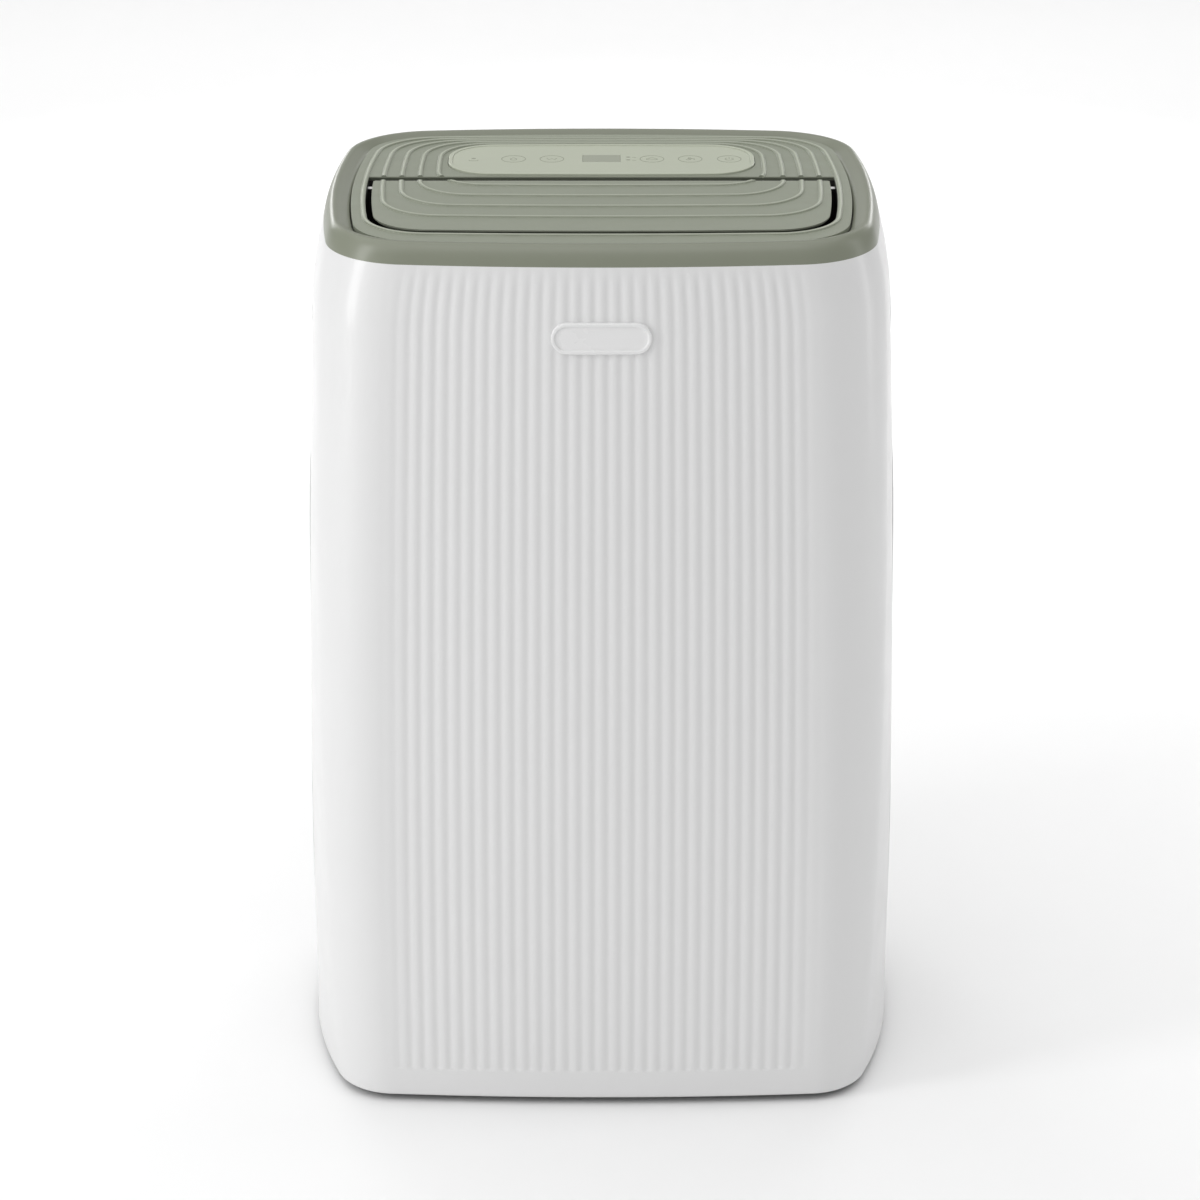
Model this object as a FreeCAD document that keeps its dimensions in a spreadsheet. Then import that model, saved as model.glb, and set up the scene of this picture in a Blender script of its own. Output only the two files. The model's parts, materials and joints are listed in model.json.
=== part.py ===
import FreeCAD, Part
import math
import os
import re

import Sketcher
from FreeCAD import Placement, Rotation, Vector

# Free-standing dehumidifier. Millimetres, +Z up, front towards -Y, origin on the floor under the middle.
SIZES = (
    # casing
    ("body_width", 372, "widest, at the foot of the casing"),
    ("body_depth", 276, "deepest, at the foot of the casing"),
    ("body_height", 556, "floor to the lip of the rim"),
    ("floor_gap", 5, "floor to the lower edge of the casing"),
    ("shoulder_width", 345.5, "width where the shoulder begins to round over"),
    ("shoulder_depth", 266, "depth where the shoulder begins to round over"),
    ("shoulder_drop", 37, "height of the rounded shoulder"),
    ("seat_width", 331, "width of the casing's upper edge, under the rim"),
    ("seat_depth", 258, "depth of the casing's upper edge, under the rim"),
    ("corner_base", 39, "corner radius of the casing at its foot"),
    ("corner_top", 51, "corner radius of the casing at its upper edge"),
    ("side_bow_base", 300, "radius of the bowed sides at the foot"),
    ("side_bow_top", 600, "radius of the bowed sides at the top"),
    ("front_bow_base", 2000, "radius of the bowed front and back at the foot"),
    ("front_bow_top", 1200, "radius of the bowed front and back at the top"),
    ("wall", 2.5, "wall of the casing"),
    ("seam_front", 45, "seam between the shells, ahead of the middle"),
    ("seam_gap", 0.4, "gap at the seam between the shells"),
    ("panel_gap", 0.8, "gap round a panel that comes off"),
    ("fit_gap", 0.4, "gap between pieces that only stand next to each other"),
    # rim and top plate
    ("lip_width", 320, "width of the rim's lip"),
    ("lip_depth", 246, "depth of the rim's lip"),
    ("rim_height", 12, "height of the rim above the casing"),
    ("lip_flat", 2.2, "flat top of the rim's lip"),
    ("bevel_width", 8, "bevel inside the lip at the sides"),
    ("bevel_depth", 4, "bevel inside the lip at the front and back"),
    ("bevel_drop", 4, "foot of the bevel below the lip"),
    ("groove", 0.7, "groove between the bevel and the top plate"),
    ("plate_drop", 1.8, "top plate below the lip"),
    ("plate_thick", 2.6, "top plate and flap thickness"),
    ("rib_width", 3, "raised ring on the top"),
    ("rib_rise", 0.9, "height of a raised ring"),
    ("ring_side", 10.8, "step from ring to ring at the sides"),
    ("ring_front", 21.7, "step from ring to ring at the front"),
    ("ring_back", 3.9, "step from ring to ring at the back"),
    ("ring_corner", 2.2, "growth of the corner radius from ring to ring"),
    ("fascia_width", 187.6, "control fascia"),
    ("fascia_depth", 66.8, "control fascia"),
    ("fascia_middle", 55.9, "middle of the fascia behind the middle of the casing"),
    ("fascia_corner", 27, "corner radius of the fascia"),
    ("fascia_rise", 1.2, "fascia above the top plate"),
    ("border_width", 2.4, "border round the fascia"),
    ("window_width", 23, "display window"),
    ("window_depth", 15, "display window"),
    # outlet flap and duct
    ("flap_width", 274.8, "outlet flap"),
    ("flap_front", 91, "front edge of the flap ahead of the middle"),
    ("flap_rear", 16, "rear edge of the flap behind the middle"),
    ("flap_side_gap", 3.4, "gap at the sides of the flap"),
    ("flap_front_gap", 8, "gap ahead of the flap"),
    ("hinge_radius", 5, "rounded rear edge of the flap, about its pins"),
    ("hinge_gap", 4.2, "gap behind the flap"),
    ("edge_lip", 0.9, "thickness of the thin edges on both sides of the flap's gap"),
    ("undercut", 1.5, "how far the plate and the flap step back under their thin edges"),
    ("flap_pin", 1.5, "radius of the flap's pins"),
    ("running_gap", 0.05, "radial gap of a pin or shaft that turns"),
    ("duct_wall", 2, "wall of the outlet duct and the fan scroll"),
    ("guard_rise", 52, "finger guard above the foot of the duct"),
    # fan
    ("fan_foot", 6, "scroll above the drip tray's underside"),
    ("scroll_front", 94, "front face of the scroll ahead of the middle"),
    ("scroll_back", 14, "rear face of the scroll ahead of the middle"),
    ("scroll_tight", 13, "room round the impeller on the scroll's tight side"),
    ("scroll_wide", 25, "room round the impeller on the scroll's wide side"),
    ("scroll_neck", 4, "outlet duct above the scroll's wide side"),
    ("fan_radius", 85, "impeller"),
    ("fan_eye", 62, "inlet of the impeller"),
    ("blade_count", 28, "blades of the impeller"),
    ("shaft_radius", 4, "fan shaft"),
    ("motor_radius", 40, "fan motor"),
    ("motor_length", 32, "fan motor"),
    # base and castors
    ("pan_thick", 3, "floor of the base pan"),
    ("pan_wall", 18, "height of the base pan's wall"),
    ("castor_inset", 56, "castor axis in from the casing's greatest width and depth"),
    ("well_radius", 27, "castor well"),
    ("well_height", 27, "castor well above the base pan's underside"),
    ("wheel_radius", 14, "castor wheel"),
    ("wheel_width", 14, "castor wheel"),
    ("castor_trail", 8, "wheel axle behind the swivel axis"),
    ("axle_radius", 2, "castor axle"),
    ("fork_wall", 2.5, "cheek of a castor fork"),
    ("stem_radius", 4, "castor stem"),
    ("stem_length", 14, "castor stem"),
    # water tank
    ("tank_width", 300, "opening for the tank in the rear shell"),
    ("tank_foot", 50, "lower edge of the tank opening"),
    ("tank_headroom", 52, "tank opening's height beyond the tank's"),
    ("tank_depth", 110, "tub from front to rear"),
    ("tank_recess", 16, "rear of the tub ahead of the casing's greatest depth"),
    ("tank_height", 140, "tank up to its rim"),
    ("tank_wall", 2, "wall of the tank"),
    ("tub_corner", 14, "upright corners of the tub"),
    ("pull_width", 90, "finger pull in the tank's face"),
    ("pull_height", 22, "finger pull in the tank's face"),
    ("lid_thick", 2.5, "tank lid"),
    ("handle_reach", 36, "arms of the tank's bail handle"),
    ("handle_bar", 3.5, "radius of the handle's bar"),
    ("float_arm", 52, "arm of the float"),
    # cold side
    ("tray_gap", 5, "drip tray above the tank's raised handle"),
    ("tray_rim", 14, "rim of the drip tray"),
    ("coil_height", 236, "height of both coils"),
    ("coil_width", 246, "width of both coils"),
    ("coil_depth", 28, "each coil from front to rear"),
    ("condenser_front", 24, "condenser's front face behind the middle"),
    ("evaporator_front", 62, "evaporator's front face behind the middle"),
    ("tube_radius", 4, "coil tubes"),
    ("fin_pitch", 6, "pitch of the coil fins"),
    # compressor group
    ("compressor_x", -95, "compressor axis"),
    ("compressor_y", -62, "compressor axis"),
    ("compressor_radius", 52, "compressor shell"),
    ("compressor_height", 168, "compressor shell"),
    ("grommet_height", 14, "rubber under the compressor"),
    ("grommet_radius", 9, "rubber under the compressor"),
    ("grommet_circle", 55, "rubber feet about the compressor's axis"),
    ("post_height", 40, "top of the compressor's posts above the floor"),
    ("pipe_radius", 4, "refrigerant pipes"),
    # rear grille and filter
    ("grille_width", 264, "grille opening in the rear shell"),
    ("grille_rise", 20, "grille opening above the tank opening"),
    ("grille_height", 236, "grille opening"),
    ("slot_pitch", 9, "pitch of the grille's slots"),
    ("slot_height", 5, "height of a slot"),
    ("filter_front", 100, "front face of the filter behind the middle"),
    ("filter_thick", 9, "filter frame"),
    # small pieces
    ("badge_width", 58, "badge on the front"),
    ("badge_height", 18.5, "badge on the front"),
    ("badge_drop", 53, "middle of the badge below the lip"),
    ("grip_width", 96, "hand grip in each side"),
    ("grip_height", 26, "hand grip in each side"),
    ("grip_depth", 20, "hand grip in each side"),
    ("grip_level", 440, "middle of the hand grips"),
    ("grip_middle", 30, "middle of the hand grips behind the middle of the casing"),
    ("inlet_height", 36, "cord inlet above the floor"),
    ("inlet_radius", 8, "cord inlet"),
)
NAMES = {name for name, value, note in SIZES}

doc = FreeCAD.newDocument("dehumidifier")
sheet = doc.addObject("Spreadsheet::Sheet", "sizes")
for row, (name, value, note) in enumerate(SIZES, 1):
    sheet.set("A%d" % row, str(value))
    sheet.setAlias("A%d" % row, name)
    sheet.set("B%d" % row, "'" + note)
doc.recompute()


class Size:
    """The sheet's cells as numbers, for shapes that are worked out here."""


for name in NAMES:
    setattr(Size, name, float(sheet.get(name)))

pieces = []

# Places that several pieces share, written for expressions.
PAN_FOOT = "(floor_gap + 1)"
TANK_BACK = "(body_depth / 2 - tank_recess)"
TANK_FRONT = "(%s - tank_depth)" % TANK_BACK
TANK_SIDE = "(tank_width / 2 - 4)"
TANK_FOOT = "(tank_foot + 2)"
TANK_OPEN = "(tank_height + tank_headroom)"
SPOUT = (-100, "condenser_front + 18")
HANDLE_Y = "(%s - tank_depth / 2)" % TANK_BACK
HANDLE_Z = "(%s + tank_height + lid_thick + 7)" % TANK_FOOT
FLOAT_X = 104
FLOAT_Z = "(%s + tank_height - 42)" % TANK_FOOT
GRILLE_FOOT = "(tank_foot + %s + grille_rise)" % TANK_OPEN
TRAY_FOOT = "(%s + handle_reach + handle_bar + tray_gap)" % HANDLE_Z
FAN_AXIS = "(%s + fan_foot + fan_radius + (scroll_tight + scroll_wide) / 2)" % TRAY_FOOT
DUCT_EDGE = "(%s + fan_radius + scroll_wide + scroll_neck)" % FAN_AXIS

# The same places as numbers, for shapes that are worked out here.
GRILLE_LOW = Size.tank_foot + Size.tank_height + Size.tank_headroom + Size.grille_rise
TRAY_LOW = (Size.tank_foot + 2 + Size.tank_height + Size.lid_thick + 7 + Size.handle_reach + Size.handle_bar
            + Size.tray_gap)
FAN_LEVEL = TRAY_LOW + Size.fan_foot + Size.fan_radius + (Size.scroll_tight + Size.scroll_wide) / 2
DUCT_FOOT = FAN_LEVEL + Size.fan_radius + Size.scroll_wide + Size.scroll_neck


# ---------- building blocks bound to the sheet ----------

def in_sheet(text):
    """Puts the sheet's name before each size's name in an expression."""
    return re.sub(r"[a-z_]+", lambda word: "sizes." * (word.group() in NAMES) + word.group(), str(text))


def bind(thing, links):
    for place, text in links.items():
        thing.setExpression(place, in_sheet(text))


def place(thing, corner):
    bind(thing, {"Placement.Base." + axis: text for axis, text in zip("xyz", corner)})
    return thing


def block(name, low, lengths):
    solid = doc.addObject("Part::Box", name)
    bind(solid, dict(zip(("Length", "Width", "Height"), lengths)))
    return place(solid, low)


ALONG = {"x": Rotation(Vector(0, 1, 0), 90), "y": Rotation(Vector(1, 0, 0), -90), "z": Rotation()}


def rod(name, along, start, radius, length):
    solid = doc.addObject("Part::Cylinder", name)
    solid.Placement = Placement(Vector(), ALONG[along])
    bind(solid, {"Radius": radius, "Height": length})
    return place(solid, start)


def joined(name, *solids):
    whole = doc.addObject("Part::MultiFuse", name)
    whole.Shapes = list(solids)
    return whole


def cut(name, base, *tools):
    whole = doc.addObject("Part::Cut", name)
    whole.Base = base
    whole.Tool = tools[0] if len(tools) == 1 else joined(name + "_tools", *tools)
    return whole


def overlap(name, first, second):
    whole = doc.addObject("Part::Common", name)
    whole.Base = first
    whole.Tool = second
    return whole


def group(name, *solids):
    whole = doc.addObject("Part::Compound", name)
    whole.Links = list(solids)
    return whole


def shaped(name, shape):
    feature = doc.addObject("Part::Feature", name)
    feature.Shape = shape
    return feature


def piece(solid, label):
    solid.Label = label
    pieces.append(solid)
    return solid


# ---------- bodies made from sketches ----------

def new_body(name):
    return doc.addObject("PartDesign::Body", name)


def sketch(body, plane, lift=0):
    drawing = body.newObject("Sketcher::SketchObject", body.Name + "_sketch")
    support = [part for part in body.Origin.OriginFeatures if part.Role == plane][0]
    drawing.AttachmentSupport = (support, [""])
    drawing.MapMode = "FlatFace"
    bind(drawing, {"AttachmentOffset.Base.z": lift})
    return drawing


def fix(drawing, kind, first, second, text):
    """Ties one point of the drawing to the origin along one axis."""
    number = drawing.addConstraint(Sketcher.Constraint(kind, -1, 1, first, second, 1.0))
    drawing.setExpression("Constraints[%d]" % number, in_sheet(text))


def draw_lines(drawing, corners):
    count = len(corners)
    first = drawing.GeometryCount
    spots = [Vector(10 + 3 * turn, turn * turn, 0) for turn in range(count)]
    for turn in range(count):
        drawing.addGeometry(Part.LineSegment(spots[turn], spots[(turn + 1) % count]), False)
    for turn in range(count):
        drawing.addConstraint(Sketcher.Constraint("Coincident", first + turn, 2,
                                                  first + (turn + 1) % count, 1))
    for turn, (across, up) in enumerate(corners):
        fix(drawing, "DistanceX", first + turn, 1, across)
        fix(drawing, "DistanceY", first + turn, 1, up)


def draw_rectangle(drawing, left, right, low, high):
    draw_lines(drawing, ((left, low), (right, low), (right, high), (left, high)))


def draw_circle(drawing, across, up, radius):
    number = drawing.addGeometry(Part.Circle(Vector(1, 1, 0), Vector(0, 0, 1), 2), False)
    fix(drawing, "DistanceX", number, 3, across)
    fix(drawing, "DistanceY", number, 3, up)
    limit = drawing.addConstraint(Sketcher.Constraint("Radius", number, 2.0))
    drawing.setExpression("Constraints[%d]" % limit, in_sheet(radius))


def pad(body, drawing, length, both_ways=False):
    feature = body.newObject("PartDesign::Pad", body.Name + "_pad")
    feature.Profile = drawing
    bind(feature, {"Length": length})
    feature.Midplane = both_ways
    body.Tip = feature
    return feature


def pocket(body, drawing, length, reverse=False):
    feature = body.newObject("PartDesign::Pocket", body.Name + "_pocket")
    feature.Profile = drawing
    bind(feature, {"Length": length})
    feature.Reversed = reverse
    body.Tip = feature
    return feature


def revolve(body, drawing):
    feature = body.newObject("PartDesign::Revolution", body.Name + "_turned")
    feature.Profile = drawing
    feature.ReferenceAxis = (drawing, ["V_Axis"])
    body.Tip = feature
    return feature


def upright(edge):
    return abs(edge.tangentAt(edge.FirstParameter).z) > 0.999


def round_edges(body, feature, test, radius):
    doc.recompute()
    edges = ["Edge%d" % number for number, edge in enumerate(feature.Shape.Edges, 1) if test(edge)]
    rounded = body.newObject("PartDesign::Fillet", body.Name + "_rounded")
    rounded.Base = (feature, edges)
    bind(rounded, {"Radius": radius})
    body.Tip = rounded
    return rounded


# ---------- outlines worked out by formula ----------

def outline(half_width, half_depth, side_bow, front_bow, corner, height, middle=0.0):
    """Closed plan outline: four bowed sides, joined by corner arcs tangent to both neighbours."""
    side_centre = half_width - side_bow
    front_centre = half_depth - front_bow
    side_reach = side_bow - corner
    front_reach = front_bow - corner
    apart = math.hypot(side_centre, front_centre)
    along = (side_reach ** 2 - front_reach ** 2 + apart ** 2) / (2 * apart)
    off = math.sqrt(side_reach ** 2 - along ** 2)
    corner_x = side_centre - along * side_centre / apart - off * front_centre / apart
    corner_y = along * front_centre / apart - off * side_centre / apart
    diagonal = Vector(corner_x - side_centre, corner_y).normalize()
    upward = Vector(corner_x, corner_y - front_centre).normalize()
    halfway = (diagonal + upward).normalize()
    centre = Vector(corner_x, corner_y)
    quarter = [centre + diagonal * corner, centre + halfway * corner, centre + upward * corner]
    signs = ((1, 1), (-1, 1), (-1, -1), (1, -1))
    corners = []
    for number, (across, back) in enumerate(signs):
        spots = [Vector(spot.x * across, spot.y * back + middle, height) for spot in quarter]
        corners.append(spots if number % 2 == 0 else spots[::-1])
    tips = (Vector(0, middle + half_depth, height), Vector(-half_width, middle, height),
            Vector(0, middle - half_depth, height), Vector(half_width, middle, height))
    edges = []
    for number in range(4):
        edges.append(Part.Arc(*corners[number]).toShape())
        edges.append(Part.Arc(corners[number][2], tips[number], corners[(number + 1) % 4][0]).toShape())
    return Part.Wire(edges)


def prism(wire, height):
    return Part.Face(wire).extrude(Vector(0, 0, height))


SEAT = Size.body_height - Size.rim_height
SHOULDER = SEAT - Size.shoulder_drop


def casing_half(height, base, shoulder, seat):
    """Half the casing's width or depth at a height: a slow inward lean, then the rounded shoulder."""
    if height <= SHOULDER:
        rise = max(0.0, (height - Size.floor_gap) / (SHOULDER - Size.floor_gap))
        return (base - (base - shoulder) * rise ** 2) / 2
    rise = min(1.0, (height - SHOULDER) / Size.shoulder_drop)
    return (shoulder - (shoulder - seat) * rise * (1 + rise) / 2) / 2


def casing_section(height, inset=0.0, lift=0.0):
    rise = (height - Size.floor_gap) / (SEAT - Size.floor_gap)
    blend = lambda low, high: low + (high - low) * rise
    return outline(casing_half(height, Size.body_width, Size.shoulder_width, Size.seat_width) - inset,
                   casing_half(height, Size.body_depth, Size.shoulder_depth, Size.seat_depth) - inset,
                   blend(Size.side_bow_base, Size.side_bow_top) - inset,
                   blend(Size.front_bow_base, Size.front_bow_top) - inset,
                   blend(Size.corner_base, Size.corner_top) - inset, height + lift)


def casing_solid(inset=0.0, overrun=0.0):
    """The casing's outer form, moved inwards by inset and run on at both ends by overrun."""
    lean = [Size.floor_gap + (SHOULDER - Size.floor_gap) * part / 5 for part in range(6)]
    round_over = [SHOULDER + Size.shoulder_drop * part / 3 for part in range(1, 4)]
    wires = [casing_section(height, inset) for height in lean + round_over]
    if overrun:
        wires.insert(0, casing_section(Size.floor_gap, inset, -overrun))
        wires.append(casing_section(SEAT, inset, overrun))
    return Part.makeLoft(wires, True, False)


def ring_outline(number, height, spread=0.0):
    """Outline of ring 0 (round the fascia) to ring 5 (round the flap), grown all round by spread."""
    front = Size.fascia_middle - Size.fascia_depth / 2 - Size.ring_front * number
    if number == 5:
        front = -Size.flap_front - Size.flap_front_gap - Size.rib_width / 2
    back = Size.fascia_middle + Size.fascia_depth / 2 + Size.ring_back * number
    half = Size.fascia_width / 2 + Size.ring_side * number
    if number:
        half -= Size.ring_side / 2
    corner = Size.fascia_corner + Size.ring_corner * number
    return outline(half + spread, (back - front) / 2 + spread, Size.side_bow_top, Size.front_bow_top * 2,
                   corner + spread, height, (front + back) / 2)


PLATE_TOP = Size.body_height - Size.plate_drop
PLATE_FOOT = PLATE_TOP - Size.plate_thick
HINGE_Y = Size.flap_rear - Size.hinge_radius
HINGE_Z = PLATE_TOP - Size.hinge_radius
HINGE = ("flap_rear - hinge_radius", "body_height - plate_drop - hinge_radius")


def half_space(behind, low, high):
    """Everything ahead of a plane across the casing, between two heights."""
    return Part.makeBox(Size.body_width, Size.body_depth, high - low,
                        Vector(-Size.body_width / 2, behind - Size.body_depth, low))


def opening_solid(spread, low, high):
    """The D-shaped opening for the flap, grown all round by spread."""
    front = -Size.flap_front - Size.flap_front_gap
    back = Size.fascia_middle + Size.fascia_depth / 2 + Size.ring_back * 5
    wire = outline(Size.flap_width / 2 + Size.flap_side_gap + spread, (back - front) / 2 + spread,
                   Size.side_bow_top, Size.front_bow_top * 2,
                   Size.fascia_corner + Size.ring_corner * 5 - Size.rib_width / 2 + spread, low,
                   (front + back) / 2)
    return prism(wire, high - low).common(half_space(Size.flap_rear + Size.hinge_gap + spread, low, high))


def flap_blank(low, high, inset=0.0):
    front = -Size.flap_front
    back = Size.fascia_middle + Size.fascia_depth / 2 + Size.ring_back * 5
    wire = outline(Size.flap_width / 2 - inset, (back - front) / 2 - inset, Size.side_bow_top,
                   Size.front_bow_top * 2,
                   Size.fascia_corner + Size.ring_corner * 5 - Size.rib_width / 2 - Size.flap_side_gap,
                   low, (front + back) / 2)
    return prism(wire, high - low).common(half_space(HINGE_Y, low, high))


def raised_ring(number):
    """One raised ring with its upper edges rounded, standing a little into the plate."""
    sunk = 0.5
    foot = PLATE_TOP - sunk
    tall = sunk + Size.rib_rise
    outer = prism(ring_outline(number, foot, Size.rib_width / 2), tall)
    ring = outer.cut(prism(ring_outline(number, foot, -Size.rib_width / 2), tall))
    upper = [edge for edge in ring.Edges if edge.BoundBox.ZMin > foot + tall - 1e-3]
    return ring.makeFillet(0.75 * Size.rib_rise, upper)


# ---------- casing ----------

def casing():
    wall = shaped("casing_wall", casing_solid().cut(casing_solid(Size.wall, 3.0)))
    reach = "body_width"
    ahead = block("casing_ahead", ("-" + reach, "-body_depth", 0),
                  ("2 * " + reach, "body_depth - seam_front",
                                                                   "body_height"))
    behind = block("casing_behind", ("-" + reach, "-seam_front - seam_gap", 0),
                   ("2 * " + reach, "body_depth", "body_height"))
    badge_seat = rod("badge_seat", "y", (0, "-body_depth / 2", "body_height - badge_drop"), 2.6,
                     "body_depth / 2")
    piece(cut("front_half", wall, behind, badge_seat), "front_shell")
    tank_hole = block("tank_hole", ("-tank_width / 2", 0, "tank_foot"),
                      ("tank_width", "body_depth", TANK_OPEN))
    grille_hole = block("grille_hole", ("-grille_width / 2", 0, GRILLE_FOOT),
                        ("grille_width", "body_depth", "grille_height"))
    grip_hole = block("grip_hole", ("-" + reach, "grip_middle - grip_width / 2",
                                    "grip_level - grip_height / 2"),
                      ("2 * " + reach, "grip_width", "grip_height"))
    inlet_hole = rod("inlet_hole", "y", ("tank_width / 3", 0, "inlet_height"), "inlet_radius + 0.3",
                     "body_depth")
    piece(cut("rear_half", wall, ahead, tank_hole, grille_hole, grip_hole, inlet_hole), "rear_shell")
    return wall


def side_grips():
    """Hand grip cups, each a box open outwards behind its hole in the shell."""
    cups = []
    shell = casing_solid(Size.wall)
    for side in (-1, 1):
        depth = Size.grip_depth + Size.wall
        half = casing_half(Size.grip_level, Size.body_width, Size.shoulder_width, Size.seat_width)
        low = Vector(-Size.wall, -Size.wall, -Size.wall)
        outer = Part.makeBox(depth * 2, Size.grip_width + 2 * Size.wall,
                             Size.grip_height + 2 * Size.wall, low)
        inner = Part.makeBox(depth * 2, Size.grip_width, Size.grip_height)
        cup = outer.cut(inner)
        cup.translate(Vector(half - depth, Size.grip_middle - Size.grip_width / 2,
                             Size.grip_level - Size.grip_height / 2))
        cup = cup.common(shell)
        if side < 0:
            cup = cup.mirror(Vector(), Vector(1, 0, 0))
        cups.append(cup)
    piece(shaped("grip_cups", Part.makeCompound(cups)), "side_grips")


def badge():
    """A blank pill with a raised rim, bent to the front, on a short peg."""
    half_long = Size.badge_width / 2
    half_tall = Size.badge_height / 2
    height = Size.body_height - Size.badge_drop
    front = -casing_half(height, Size.body_depth, Size.shoulder_depth, Size.seat_depth)

    def pill(grow, start, deep):
        radius = half_tall + grow
        straight = half_long - half_tall
        spots = [Vector(-straight, start, height - radius), Vector(straight, start, height - radius),
                 Vector(straight + radius, start, height), Vector(straight, start, height + radius),
                 Vector(-straight, start, height + radius), Vector(-straight - radius, start, height)]
        wire = Part.Wire([Part.LineSegment(spots[0], spots[1]).toShape(), Part.Arc(*spots[1:4]).toShape(),
                          Part.LineSegment(spots[3], spots[4]).toShape(),
                          Part.Arc(spots[4], spots[5], spots[0]).toShape()])
        return Part.Face(wire).extrude(Vector(0, deep, 0))

    stand = 1.6
    plate = pill(0, front - stand, stand * 3).cut(pill(-2.2, front - stand, 0.7)).cut(casing_solid())
    peg = Part.makeCylinder(2.5, Size.wall + 3.0, Vector(0, front - 0.5, height), Vector(0, 1, 0))
    piece(shaped("badge", plate.fuse(peg)), "badge_plate")


def lip_outline(side_inset, front_inset, height):
    """Outline inside the rim's lip, set in at the sides and at the front and back."""
    inset = Size.lip_flat + side_inset
    return outline(Size.lip_width / 2 - inset, Size.lip_depth / 2 - Size.lip_flat - front_inset,
                   Size.side_bow_top - inset, Size.front_bow_top - inset, Size.corner_top - inset, height)


def top_rim():
    half_width = Size.lip_width / 2
    half_depth = Size.lip_depth / 2
    bow = (Size.side_bow_top, Size.front_bow_top)
    seat_half = (Size.seat_width / 2, Size.seat_depth / 2)
    wires = []
    for rise, part in ((0.0, 0.0), (0.45, 0.22), (0.75, 0.52), (0.92, 0.8), (1.0, 1.0)):
        across = seat_half[0] + (half_width - seat_half[0]) * part
        deep = seat_half[1] + (half_depth - seat_half[1]) * part
        wires.append(outline(across, deep, *bow, Size.corner_top, SEAT + Size.rim_height * rise))
    outer = Part.makeLoft(wires, True, False)

    lip = lip_outline(0.0, 0.0, Size.body_height)
    bevel_foot = Size.body_height - Size.bevel_drop
    bevel = Part.makeLoft([lip_outline(Size.bevel_width, Size.bevel_depth, bevel_foot), lip], True, True)
    above = prism(lip, 1.0)
    well = prism(lip_outline(Size.bevel_width, Size.bevel_depth, SEAT - 1.0), bevel_foot - SEAT + 1.0)
    piece(shaped("rim", outer.cut(bevel.fuse([above, well]))), "top_rim")


def top_plate():
    def plate_outline(inset, height):
        return lip_outline(Size.bevel_width + Size.groove + inset,
                           Size.bevel_depth + Size.groove + inset, height)

    plate = prism(plate_outline(0.0, PLATE_FOOT), Size.plate_thick)
    plate = plate.fuse([raised_ring(number) for number in range(1, 6)])
    seat = prism(ring_outline(0, PLATE_FOOT - 1.0, Size.fit_gap), Size.plate_thick + 5.0)
    step = opening_solid(Size.undercut, PLATE_FOOT - 1.0, PLATE_TOP - Size.edge_lip)
    plate = plate.cut([seat, step, opening_solid(0.0, PLATE_FOOT - 1.0, Size.body_height + 1.0)])
    skirt_height = PLATE_FOOT - SEAT + 0.5
    skirt = prism(plate_outline(1.0, SEAT), skirt_height).cut(prism(plate_outline(3.0, SEAT), skirt_height))
    notch = Part.makeBox(20, 28, PLATE_FOOT - SEAT + 1,
                         Vector(Size.flap_width / 2 + Size.flap_side_gap + Size.duct_wall,
                                HINGE_Y - 14, SEAT - 1))
    piece(shaped("plate", plate.fuse(skirt.cut(notch)).removeSplitter()), "top_plate")


def controls():
    foot = PLATE_FOOT
    tall = Size.plate_thick + Size.fascia_rise
    rim = Size.border_width
    fascia = prism(ring_outline(0, foot, -rim - 0.15), tall - 0.5)
    border = prism(ring_outline(0, foot), tall).cut(prism(ring_outline(0, foot, -rim), tall))
    upper = [edge for edge in border.Edges if edge.BoundBox.ZMin > foot + tall - 1e-3]
    piece(shaped("border", border.makeFillet(0.5, upper)), "fascia_border")
    face = shaped("fascia_blank", fascia)
    top = "body_height - plate_drop - plate_thick"
    rise = "plate_thick + fascia_rise - 0.5"
    window_hole = block("window_hole", ("-window_width / 2 - 0.15",
                                        "fascia_middle - window_depth / 2 + 1.85", top),
                        ("window_width + 0.3", "window_depth + 0.3", "plate_thick + 5"))
    lens_spots = ((-78.5, 2), (16.5, 5), (16.5, -1))
    holes = [rod("lens_hole%d" % number, "z", (across, "fascia_middle + %g" % back, top), 1.35,
                 "plate_thick + 5")
             for number, (across, back) in enumerate(lens_spots)]
    piece(cut("fascia", face, window_hole, *holes), "control_fascia")
    piece(block("window", ("-window_width / 2", "fascia_middle - window_depth / 2 + 2", top),
                ("window_width", "window_depth", rise)), "display_window")
    lenses = [rod("lens%d" % number, "z", (across, "fascia_middle + %g" % back, top), 1.2, rise)
              for number, (across, back) in enumerate(lens_spots)]
    piece(group("lenses", *lenses), "indicator_lenses")
    board = new_body("board")
    drawing = sketch(board, "XY_Plane", "body_height - plate_drop - plate_thick - 7")
    draw_rectangle(drawing, "-fascia_width / 2 + 10", "fascia_width / 2 - 10",
                   "fascia_middle - fascia_depth / 2 + 9",
                   "fascia_middle + fascia_depth / 2 - 7")
    slab = pad(board, drawing, 1.6)
    round_edges(board, slab, upright, 3)
    drawing = sketch(board, "XY_Plane", "body_height - plate_drop - plate_thick - 7")
    for across in ("-fascia_width / 2 + 15", "fascia_width / 2 - 15"):
        draw_circle(drawing, across, "fascia_middle", 1.6)
    pocket(board, drawing, 1.6, True)
    piece(board, "control_board")


# ---------- air outlet ----------

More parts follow.
